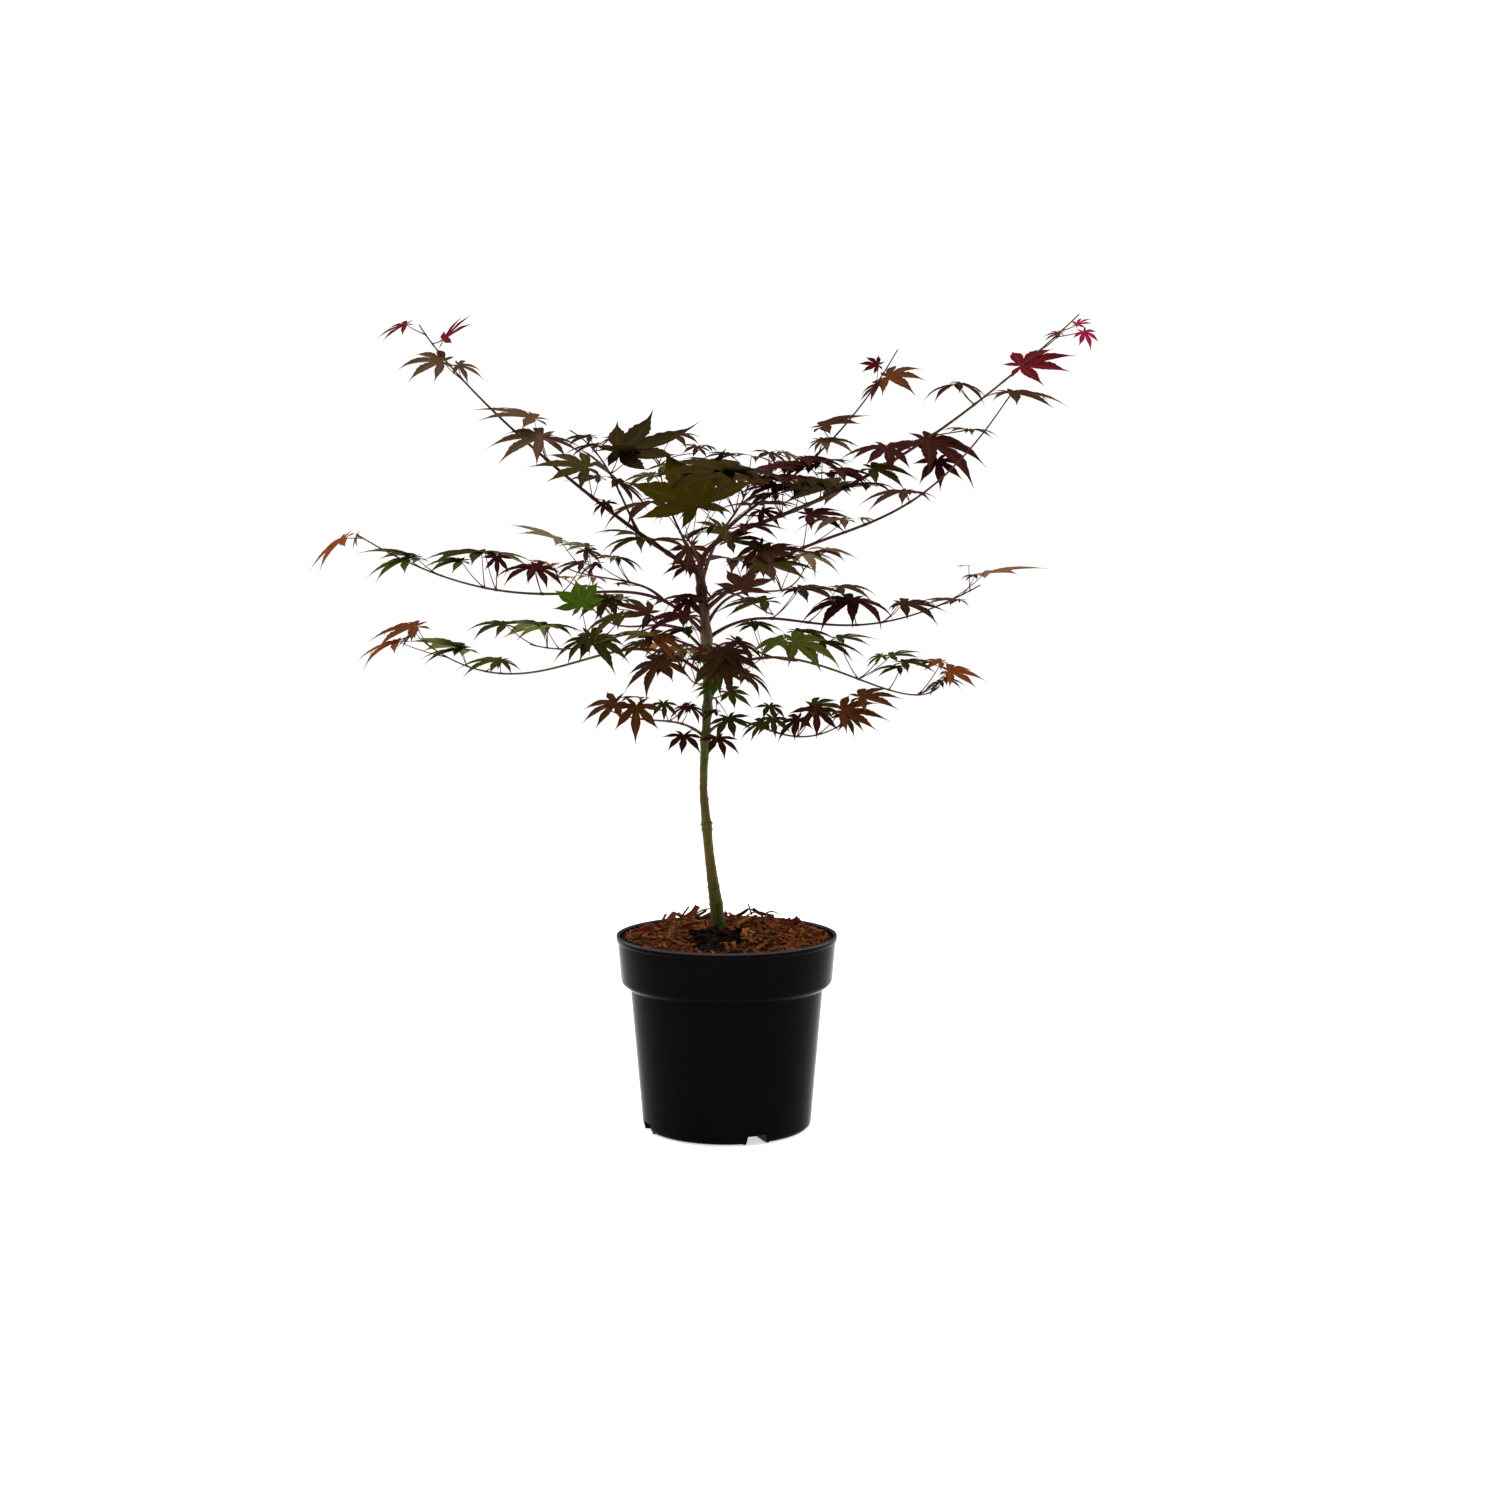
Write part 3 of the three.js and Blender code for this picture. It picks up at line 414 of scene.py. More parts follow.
# Trunk levels: height, offset to the right, offset to the back, radius, all in millimetres
trunkLevels = np.array([
    (168, -7, 8, 9), (170, -7, 8, 8.4), (174, -7.4, 7.8, 6.6), (180, -8, 7.6, 5.9), (192, -9.2, 7, 5.7),
    (207, -11.4, 6, 5), (230, -14.4, 4.6, 4.3), (252, -16.6, 3.2, 4.1), (260, -17, 2.8, 4.8),
    (268, -18, 2.4, 3.9), (290, -19.8, 1.4, 3.4), (310, -19.6, 0.7, 3.4), (336, -17.8, 0, 3.9),
    (346, -17.2, 0, 3.6), (384, -15, 0, 4.2), (405, -15.6, 0, 4), (422, -17, 0, 4.1), (444, -19, 0, 3.8),
    (462, -21, 0, 3.6), (481, -23, 0, 3.3),
])
trunkLook = {
    # old bud scars: height, and how far they stand out
    "rings": [(192, 0.5), (199, 0.4), (207, 0.6), (214, 0.3), (257, 0.5), (262, 0.9), (283, 0.45), (388, 0.4),
              (464, 0.4)],
    "ringWidth": 1.1,
    "collar": 0.55,  # round the foot of a limb
    "collarWidth": 5,
    "collarDrop": 2,
    "step": 0.8,
    "smoothing": 9,  # steps that are averaged
    "overrun": 2.5,  # past the last level, where the top rounds off
    "topRound": 3,
    "relief": (3.5, 0.7),
    "light": (1.15, 1.15, 1.1),  # streaks that are multiplied into the colours
    "dark": (0.5, 0.47, 0.42),
    "streaks": (420, 2.4),
    "colours": [(0, (66, 74, 18)), (0.07, (74, 72, 22)), (0.2, (92, 80, 34)), (0.42, (77, 73, 27)),
                (0.56, (62, 70, 25)), (0.7, (68, 88, 30)), (0.8, (96, 84, 56)), (0.9, (78, 56, 44)),
                (1, (52, 26, 24))],  # from the soil up
    "colourSpan": (168, 484),
}


def trunkAt(height):
    return np.array([np.interp(height, trunkLevels[:, 0], trunkLevels[:, k]) for k in (1, 2)] + [height])


# ---- limbs ----

# The limbs as the solids have them: foot (height on the trunk, or share of the parent), bearing, reach, rise,
# slope and stretch at the foot, slope and stretch at the tip, swing, radius, bare share
limbKeys = ("foot", "bearing", "reach", "rise", "leave", "spring", "arrive", "sweep", "swing", "radius",
            "bare")
limbSizes = {
    "left_leader": (476, 170, 245, 212, 29, 0.23, 58, 0.25, -6, 2.2, 0.27),
    "right_leader": (478, -5, 316, 212, 84, 0.15, 43, 0.78, 8, 2.4, 0.25),
    "right_spire": (0.08, 30, 181, 168, 61, 0.13, 58, 0.55, 6, 1.5, 0.26),
    "left_inner": (0.2, 212, 64, 84, 60, 0.5, 28, 0.3, 10, 1.2, 0.28),
    "right_sweep": (444, -24, 266, 171, 38, 0.48, 56, 0.51, -8, 1.9, 0.28),
    "right_middle": (420, 16, 249, 45, 35, 0.34, 29, 0.62, 10, 1.5, 0.28),
    "left_middle": (422, 192, 292, 87, 51, 0.37, 32, 0.63, 8, 1.7, 0.32),
    "left_middle_side": (0.16, 150, 96, 26, 44, 0.3, 22, 0.3, -10, 1.1, 0.3),
    "left_whip": (408, 212, 168, 12, 26, 0.6, 14, 0.5, -8, 1.2, 0.3),
    "left_arch": (385, 164, 266, 32, 42, 0.43, 38, 0.51, -10, 1.6, 0.32),
    "right_arch": (383, -18, 201, 1, 44, 0.46, 43, 0.25, 10, 1.5, 0.3),
    "left_foot": (336, 200, 94, 30, 42, 0.4, 28, 0.5, 6, 1.1, 0),
    "right_foot": (338, -20, 134, 22, 48, 0.42, 40, 0.6, -8, 1.2, 0),
    "front_foot": (362, -82, 72, 8, 40, 0.4, 6, 0.3, 8, 1, 0),
    "back_foot": (362, 100, 150, 26, 42, 0.4, 24, 0.5, -8, 1.2, 0),
    "front_middle": (404, -58, 138, 4, 36, 0.4, 2, 0.4, -8, 1.3, 0.3),
    "back_middle": (404, 122, 224, 48, 46, 0.36, 30, 0.5, 8, 1.5, 0.3),
    "front_side": (428, -122, 150, 2, 40, 0.34, 10, 0.4, 8, 1.3, 0.3),
    "back_side": (430, 66, 218, 48, 50, 0.34, 30, 0.4, -8, 1.5, 0.3),
    "front_high": (448, -56, 104, -4, 44, 0.4, -4, 0.3, 8, 1.2, 0.3),
    "front_crown": (464, -97, 122, 46, 46, 0.3, 8, 0.3, 6, 1.4, 0.3),
    "back_crown": (466, 78, 196, 98, 56, 0.34, 30, 0.4, -8, 1.7, 0.28),
    "back_leader": (461, 104, 176, 116, 56, 0.3, 40, 0.4, 8, 1.6, 0.28),
}
limbParents = {"right_spire": "right_leader", "left_inner": "left_leader", "left_middle_side": "left_middle"}

# Limbs whose leaves grow by a rule: number of pairs, first and last leaf's length, colours from foot to tip
grownLeaves = {
    "back_foot": (3, (33, 28), ("olive", "green", "orange")),
    "back_middle": (3, (35, 26), ("olive", "bronze", "rust")),
    "back_side": (3, (39, 28), ("maroon", "dusky", "rust")),
    "back_crown": (4, (46, 30), ("maroon", "bronze", "dusky", "maroon")),
    "back_leader": (3, (44, 30), ("bronze", "olive", "maroon")),
}

# The leaves that are set one by one: where the stalk leaves the limb, in percent of it, the way from there to
# the blade's foot (right, back, up), bearing, dip and roll of the blade, length of its middle lobe, colour,
# bend in percent, and width in percent where it isn't 100. Its number in the list seeds its irregularities.
placedLeaves = [
    ("left_leader", [
        (97, -16, -4, 8, 178, 18, -22, 26, "crimson", 40), (94, 10, 4, 4, 2, -44, 20, 33, "crimson", 10, 90),
        (82, -15, -6, 14, 184, -2, -30, 38, "dusky", 60), (82, -4, 6, 12, -8, 20, 26, 22, "dusky", 60),
        (51, -11, 10, 35, 183, -14, -12, 50, "dusky", 30), (51, -3, -12, 18, 184, 0, -26, 46, "dusky", 80),
        (50, -7, 8, 21, -8, 16, 12, 38, "bronze", 30), (35, -3, -14, 25, 184, -6, 24, 45, "olive", 40),
        (35, 5, 14, 17, 182, -2, 10, 28, "maroon", 40), (35, 12, -10, -4, 250, 40, 0, 16, "maroon", 80),
        (14, -11, -14, 5, 183, 4, -8, 38, "olive", 70), (14, -14, 8, 8, 178, -12, 6, 36, "olive", 40),
        (10, -15, -6, 11, 0, -2, 6, 40, "bronze", 40),
    ]),
    ("left_inner", [
        (73, -5, 8, 13, 180, 2, 6, 28, "maroon", 40), (73, 2, -8, 6, 182, 8, -10, 28, "maroon", 50),
        (35, -5, 6, 12, 170, -44, 12, 40, "bronze", 30), (35, -2, -12, 10, -6, 34, 8, 34, "bronze", 50),
        (52, 8, 0, 18, 11, -12, 30, 60, "brown", -50, 125), (52, 21, -10, 19, 180, -4, 10, 36, "brown", 40),
    ]),
    ("front_crown", [
        (64, 5, -6, 31, 243, -40, 25, 64, "moss", 15, 120), (83, 21, 8, 8, 182, 12, -6, 30, "bronze", 70),
        (64, -9, 10, 35, 182, -8, 6, 34, "maroon", 40), (51, 26, 6, 14, 165, -26, 30, 26, "olive", 30, 120),
        (64, 35, -52, 55, 182, -4, 14, 66, "brown", 30, 120),
        (64, 29, -48, 58, 2, 2, 12, 42, "brown", 40, 120),
    ]),
    ("right_leader", [
        (13, -9, -16, -8, 4, -6, 20, 34, "brown", 40, 110), (13, 3, -12, 4, 0, -2, 8, 38, "maroon", 40),
        (23, -14, 10, 39, 0, -12, 10, 38, "maroon", 40), (23, -6, -8, 33, 0, 4, 6, 48, "maroon", 50),
        (23, 1, -14, 32, 184, 10, -8, 36, "maroon", 50), (23, -10, 4, 18, 182, 12, -6, 26, "bronze", 60),
        (32, 13, -12, 10, 180, 2, 13, 56, "brown", 30, 130), (32, 2, 8, 33, 0, -2, 4, 28, "maroon", 40),
        (38, -16, 12, 12, 2, 0, 6, 44, "maroon", 60), (38, 14, -10, 3, 0, 0, 6, 30, "bronze", 60),
        (38, 20, 10, 2, 181, -2, -6, 36, "maroon", 50), (50, -11, 8, 11, 182, 8, -10, 36, "maroon", 40, 110),
        (50, -7, -14, 11, -80, 40, 0, 28, "maroon", 40, 120),
        (50, -19, -8, -7, -6, 4, 18, 40, "olive", 70, 110),
        (58, 0, -14, -2, 0, 10, 22, 60, "maroon", 90, 115),
        (58, -2, 10, -2, 184, 6, -12, 40, "maroon", 40, 110),
        (58, 9, -20, -17, -85, 46, 0, 28, "maroon", 50, 110), (60, 30, 8, 5, 182, -6, -8, 24, "dusky", 50),
        (60, 31, -8, 4, -8, 2, 8, 24, "dusky", 60), (71, -14, 6, 17, 183, 10, -8, 32, "maroon", 90),
        (71, -14, -6, 17, -4, 14, 12, 30, "maroon", 90),
    ]),
    ("right_sweep", [
        (100, 2, -4, 5, -2, 4, 12, 46, "bronze", 50), (100, 5, 6, 6, 182, 2, -8, 24, "russet", 50),
    ]),
    ("right_leader", [
        (79, 13, -4, 12, 4, -16, 26, 46, "crimson", 40, 115), (89, 17, 4, 14, 180, 4, 12, 16, "crimson", 50),
        (93, 23, -6, 4, -50, 46, 20, 16, "pink", 80, 110), (95, 13, 2, 5, 14, -30, 24, 13, "pink", 40),
    ]),
    ("right_sweep", [
        (13, 22, -8, 26, 0, -6, 18, 38, "bronze", 40, 120),
        (13, 20, 8, 32, 204, 40, -22, 28, "bronze", 60, 110),
        (26, -13, -14, -4, -2, -2, 10, 46, "olive", 50, 115), (26, 29, 6, 6, 0, -6, 4, 40, "dusky", 70, 80),
        (34, 4, 8, 27, 0, -2, 18, 38, "maroon", 50, 110), (34, 34, -6, 23, 181, -2, -8, 38, "dusky", 80),
        (52, -3, 0, 5, 2, 4, -10, 14, "dusky", 60), (65, -5, -10, 8, 180, 4, -10, 38, "bronze", 70),
        (65, -2, 10, 9, 0, 4, 6, 26, "maroon", 60),
    ]),
    ("right_spire", [
        (44, -4, 8, 6, 4, -6, 10, 30, "maroon", 40, 110), (51, 3, -6, 11, 0, 0, 12, 38, "dusky", 70),
        (51, 5, 6, 12, 186, 22, -18, 18, "dusky", 70), (58, -8, 0, 12, 2, -18, 12, 44, "bronze", 30, 115),
        (81, 9, 4, 9, 186, 36, -18, 24, "bronze", 50), (81, 14, -4, 14, -20, -4, 30, 36, "russet", 60, 110),
        (85, 2, 2, 17, 180, -8, 34, 17, "crimson", 30, 120),
    ]),
    ("right_middle", [
        (25, 24, 6, 25, 0, -2, 10, 44, "dusky", 70), (25, 21, -6, 25, 181, 2, -10, 18, "bronze", 80),
        (38, 26, 8, 30, 0, -3, 8, 36, "dusky", 80), (55, -4, -6, 21, 184, 5, -17, 47, "maroon", 90, 105),
        (55, -3, 6, 21, -6, 8, 10, 42, "maroon", 90), (64, 17, -8, 16, -4, 3, 13, 40, "bronze", 50, 105),
        (64, 16, 6, 17, 182, 20, -10, 14, "olive", 80), (85, 14, -4, 4, 180, -4, 6, 34, "maroon", 40),
        (85, 15, 4, 4, 0, 12, 4, 14, "rust", 80, 80), (85, 37, -6, 27, 0, -9, -6, 50, "rust", 20, 90),
        (93, 12, 6, 17, 182, 6, -8, 16, "dusky", 60), (96, -1, 4, 22, 180, 0, 0, 12, "rust", 40),
    ]),
    ("left_middle", [
        (98, -15, 0, 0, 188, 36, -10, 36, "orange", 35, 115), (98, -5, 4, 3, 200, 68, 0, 14, "rust", 40),
        (76, -21, 6, 15, 180, -12, 8, 44, "olive", 30, 90), (76, -25, -6, 13, 185, 14, -11, 40, "green", 50),
        (64, -3, 6, 29, 181, -1, -6, 52, "olive", 50), (64, -18, -8, 22, 183, -1, -11, 35, "green", 70),
        (61, -9, 2, 30, -2, 1, -6, 44, "dusky", 60, 90), (61, 2, -8, 28, -95, 66, 0, 16, "maroon", 50),
        (49, -6, -4, 22, 183, 3, -13, 36, "maroon", 80), (49, -6, 6, 22, -8, 22, 20, 30, "maroon", 70),
        (44, 18, 6, 25, 183, 4, -12, 28, "bronze", 60),
    ]),
    ("left_middle_side", [
        (76, -28, 6, 30, 180, -22, 8, 44, "dusky", 30), (76, -3, -6, 25, 181, -6, 12, 28, "dusky", 40),
        (76, -5, -12, 22, -40, 26, 8, 20, "dusky", 60), (38, -27, -6, 16, 196, 26, -10, 20, "maroon", 70),
        (38, -11, 6, 21, 0, 14, 8, 26, "dusky", 80), (38, -13, -8, 21, 184, -8, 8, 24, "dusky", 50),
        (26, -20, -4, 2, 0, -2, 6, 16, "dusky", 40),
    ]),
    ("left_whip", [
        (65, -7, -4, 32, 265, -50, 18, 28, "brightGreen", 20, 150),
    ]),
    ("front_side", [
        (97, 12, 4, 15, 182, 16, -10, 38, "olive", 70, 110),
        (75, 13, -8, 16, 178, -18, 32, 31, "maroon", 40, 110),
    ]),
    ("left_whip", [
        (90, -2, 6, 18, 181, -6, 10, 44, "green", 50, 110), (97, -24, 2, 17, 182, -4, -10, 34, "olive", 80),
        (90, 1, -8, 17, 183, 6, 8, 36, "green", 40), (83, -12, 8, 19, 0, 2, 4, 32, "olive", 50),
        (63, -5, -6, 5, 190, 22, -16, 32, "darkGreen", 60),
        (63, -4, 6, 5, -6, 22, 24, 40, "darkGreen", 70, 110),
    ]),
    ("left_arch", [
        (96, -13, 4, 18, 185, 8, -12, 44, "rust", 60, 110),
        (90, -42, -6, 14, 184, 16, -8, 42, "orange", 60, 90), (96, -13, -4, 13, 186, 34, -8, 22, "rust", 40),
        (83, -5, 4, 16, 178, -10, 12, 50, "green", 20, 140), (83, -5, -6, 15, 183, 6, -4, 38, "green", 40),
        (77, 12, 4, 9, 181, -2, -10, 36, "green", 70), (72, 0, -6, 11, -8, 10, 12, 20, "olive", 90),
        (38, 35, 8, 10, 186, 14, -12, 28, "darkGreen", 60, 110),
        (25, 17, -14, -10, 192, 30, -18, 40, "bronze", 60),
        (25, 18, -10, -10, -10, 20, 30, 26, "rust", 40, 120),
    ]),
    ("left_foot", [
        (63, -3, -4, 12, -92, 55, 0, 30, "russet", 40), (76, -8, 6, 11, 188, 22, -24, 34, "russet", 50),
        (76, 14, 8, 15, 181, -4, 6, 26, "bronze", 50), (38, -4, -4, 16, -80, 42, 0, 17, "olive", 60),
        (38, 16, 4, 13, 190, 26, -12, 22, "maroon", 70), (26, 7, -4, 15, -10, 30, 12, 20, "maroon", 70),
        (14, -8, -14, -4, -90, 34, 0, 23, "maroon", 50, 105),
    ]),
    ("front_foot", [
        (29, 3, 6, 9, 183, 4, -16, 22, "brightGreen", 40, 120),
        (47, 11, -4, 6, -20, 24, 22, 22, "green", 50, 120),
        (61, 10, -8, -14, -70, 34, 12, 24, "darkGreen", 50, 105),
        (61, 0, 4, -10, 184, 10, -10, 18, "maroon", 50),
    ]),
    ("right_foot", [
        (0, 10, -18, 0, -66, 32, 0, 24, "maroon", 50), (37, 5, -4, 4, 196, 28, -12, 24, "green", 50),
        (37, 10, 6, 17, -66, 34, 0, 18, "darkGreen", 50, 110),
        (49, -3, -6, 13, -82, 46, 0, 20, "darkGreen", 50),
        (62, 2, 4, 15, 204, 30, -14, 26, "maroon", 60, 105),
        (62, 15, -6, 24, -88, 56, 0, 26, "maroon", 30, 90), (74, -4, 8, 24, -8, 0, 22, 28, "green", 50, 110),
        (74, 20, -4, 21, -4, 4, 26, 37, "rust", 40), (87, 7, 4, 10, -60, 50, 0, 20, "olive", 50),
        (100, 3, 2, 14, -2, -6, 16, 36, "rust", 40, 110),
    ]),
    ("right_arch", [
        (26, -8, 8, 28, 184, 4, -12, 22, "darkGreen", 50, 110),
        (26, -12, -4, 29, 0, 6, 8, 28, "darkGreen", 50, 120),
    ]),
    ("front_middle", [
        (98, -9, -6, 17, 186, 14, -12, 30, "green", 50, 130),
        (98, -2, 6, 15, -8, 12, 22, 40, "green", 60, 125),
    ]),
    ("right_arch", [
        (46, -14, 8, 27, -2, 4, 6, 38, "bronze", 50), (46, 5, -6, 18, -2, 6, 8, 38, "olive", 60),
        (65, -17, 6, 34, 0, -6, 8, 30, "green", 40), (65, 19, -4, 20, 200, 24, -10, 16, "green", 70),
        (65, 27, 4, 19, 0, -12, 8, 28, "green", 30), (78, 11, -6, 23, -2, -4, 8, 34, "olive", 60),
        (78, 10, 6, 18, 182, -2, -8, 26, "olive", 80), (90, 20, 4, 27, 183, 2, -12, 22, "orange", 40, 120),
        (90, 25, -4, 20, -2, 8, 18, 30, "orange", 40, 130), (90, 20, 2, 11, 186, 20, -8, 18, "dusky", 60),
        (95, 12, -4, 12, -4, 10, 8, 20, "dusky", 60),
    ]),
    ("front_middle", [
        (49, -22, 10, -2, -30, 20, 0, 30, "dusky", 60, 120), (49, -18, -6, -5, -10, 18, 20, 38, "bronze", 50),
        (49, -22, 4, -9, -92, 66, 0, 30, "olive", 30, 110),
        (49, -18, -10, -7, -60, 58, 0, 36, "bronze", 30, 90), (74, -27, 6, 12, -8, 26, 10, 32, "maroon", 60),
        (74, -20, -14, -13, -6, 30, 10, 30, "bronze", 60),
    ]),
    ("front_side", [
        (51, 21, -4, 7, 184, 6, -10, 42, "maroon", 50, 110),
        (51, 24, 6, -5, 182, 4, -8, 30, "olive", 40, 120),
        (75, 14, -8, -2, 181, -8, 12, 32, "olive", 40, 110),
        (75, 12, 6, -3, -10, 14, 18, 32, "rust", 40, 120), (25, 14, -20, -26, 204, 52, 0, 20, "maroon", 50),
    ]),
    ("front_high", [
        (24, 17, -6, 3, -63, -32, -10, 34, "maroon", 20, 130),
        (24, 5, 8, 4, 186, 24, -8, 20, "darkGreen", 40), (100, -6, 4, 11, 182, 5, -10, 46, "olive", 50, 90),
        (12, -10, -8, 1, 182, 0, -6, 38, "maroon", 40, 110),
        (12, -19, -16, -1, -92, 50, 0, 22, "maroon", 40, 110),
        (12, -17, 6, 28, 184, 10, -22, 28, "maroon", 50, 110),
        (12, -18, -8, 43, -92, 62, 0, 24, "bronze", 30, 110),
    ]),
    ("right_spire", [
        (36, -3, 6, 15, 0, 4, 8, 36, "maroon", 50), (36, -1, -8, 11, 183, 2, -10, 40, "maroon", 50, 110),
        (44, 1, -10, 6, 0, 6, 10, 40, "maroon", 60, 110), (50, 2, 8, -5, 182, 8, -12, 34, "maroon", 50, 110),
    ]),
    ("right_leader", [
        (29, -7, -12, 22, 0, 6, 12, 34, "maroon", 60, 110), (29, -27, 10, 16, 183, 4, -14, 34, "maroon", 50),
    ]),
    ("right_spire", [
        (21, -7, -6, 20, 0, -2, 12, 36, "maroon", 50),
    ]),
    ("right_leader", [
        (38, -7, -12, 14, 2, 4, 12, 36, "maroon", 60, 110),
        (26, 5, 10, 20, 180, -2, -12, 34, "bronze", 50, 110),
    ]),
    ("right_spire", [
        (41, 11, 6, 5, 182, 4, -12, 34, "maroon", 50, 110), (45, 13, -6, -17, 2, 2, 12, 32, "brown", 50, 120),
    ]),
    ("right_leader", [
        (34, 8, -8, 21, 2, 4, 10, 30, "maroon", 50, 110),
    ]),
    ("right_spire", [
        (35, -9, 8, -11, 180, 4, -10, 30, "brown", 50, 110),
    ]),
]
seeds = {"grown": 20, "chips": 25, "placed": 5000, "sprigs": 7000, "fallen": 9000}


def heading(bearing, slope):
    b, s = math.radians(bearing), math.radians(slope)
    return np.array([math.cos(b) * math.cos(s), math.sin(b) * math.cos(s), math.sin(s)])


# A curve as dense points with the share of its length that each stands at
class Sweep:
    def __init__(self, corners):
        t = np.linspace(0, 1, 401)[:, None]
        a, b, c, d = corners
        self.points = (1 - t) ** 3 * a + 3 * (1 - t) ** 2 * t * b + 3 * (1 - t) * t * t * c + t**3 * d
        steps = np.linalg.norm(np.diff(self.points, axis=0), axis=1)
        self.length = steps.sum()
        self.shares = np.r_[0, np.cumsum(steps)] / self.length

    def at(self, share):
        return np.array([np.interp(share, self.shares, self.points[:, k]) for k in range(3)]).T

    def along(self, share):
        way = self.at(min(1, share + 0.002)) - self.at(max(0, share - 0.002))
        return way / np.linalg.norm(way)


def growLimbs():
    limbs = {}
    for index, (name, sizes) in enumerate(limbSizes.items()):
        limb = dict(zip(limbKeys, sizes), name=name, index=index, knots=set())
        parent = limbs.get(limbParents.get(name))
        start = parent["line"].at(limb["foot"]) if parent else trunkAt(limb["foot"])
        chord = math.hypot(limb["reach"], limb["rise"])
        end = start + heading(limb["bearing"], 0) * limb["reach"] + np.array([0, 0, limb["rise"]])
        out = heading(limb["bearing"] + limb["swing"], limb["leave"]) * limb["spring"] * chord
        onward = heading(limb["bearing"] - limb["swing"], limb["arrive"]) * limb["sweep"] * chord
        limb["line"] = Sweep((start, start + out, end - onward, end))
        if name in grownLeaves:
            limb["pairs"], limb["leaf"], limb["tints"] = grownLeaves[name]
        limbs[name] = limb
    return limbs


limbs = growLimbs()
pairLook = {"afterBough": 0.04, "firstOnBareFoot": 0.3, "last": 0.985, "shrink": 0.88}


# Where the pairs of leaves stand, as shares of the limb
def pairShares(limb):
    first = limb["bare"] + pairLook["afterBough"] if limb["bare"] else pairLook["firstOnBareFoot"]
    steps = [pairLook["shrink"] ** i for i in range(limb["pairs"] - 1)]
    shares = [first]
    for step in steps:
        shares.append(shares[-1] + (pairLook["last"] - first) * step / sum(steps))
    return shares


# ---- leaves ----

leafLook = {
    # the lobes on one side of the middle one: angle, length, half width, reach of the cut before it
    "lobes": [(0, 1.14, 0.142, 0), (40, 1.08, 0.134, 0.3), (82, 0.87, 0.1, 0.27), (128, 0.44, 0.055, 0.17)],
    "heel": (26, 0.1),  # the cut behind the last lobe: angle past it, reach
    # half widths beyond the cut
    "profile": [(0.14, 0.86), (0.32, 1), (0.5, 0.76), (0.68, 0.34), (0.83, 0.12)],
    "bigProfile": [(0.08, 0.88), (0.16, 1.02), (0.24, 0.94), (0.32, 1.06), (0.4, 0.88), (0.48, 0.86),
                   (0.56, 0.58), (0.64, 0.46), (0.74, 0.22), (0.86, 0.1)],
    "bigFrom": 34,  # leaves with a middle lobe longer than this have toothed edges
    "slim": 0.06,  # lobes narrower than this take every second step of the profile
    "bend": (0.2, 0.95),
    "lobeBend": (0.75, 1.25),
    "fold": 0.28,
    "cutLift": 0.3,
    "sickle": 0.09,
    "vary": 0.1,
    "veer": 3,
    "skew": (-4, 4),
}
stalkLook = {"footRadius": 0.5, "headRadius": 0.33, "flare": 1.5, "flareUntil": 0.12, "knee": (0.5, 0.5, 0.3)}
leafHeaps = {}
stalkLines = []
sprigLines = []


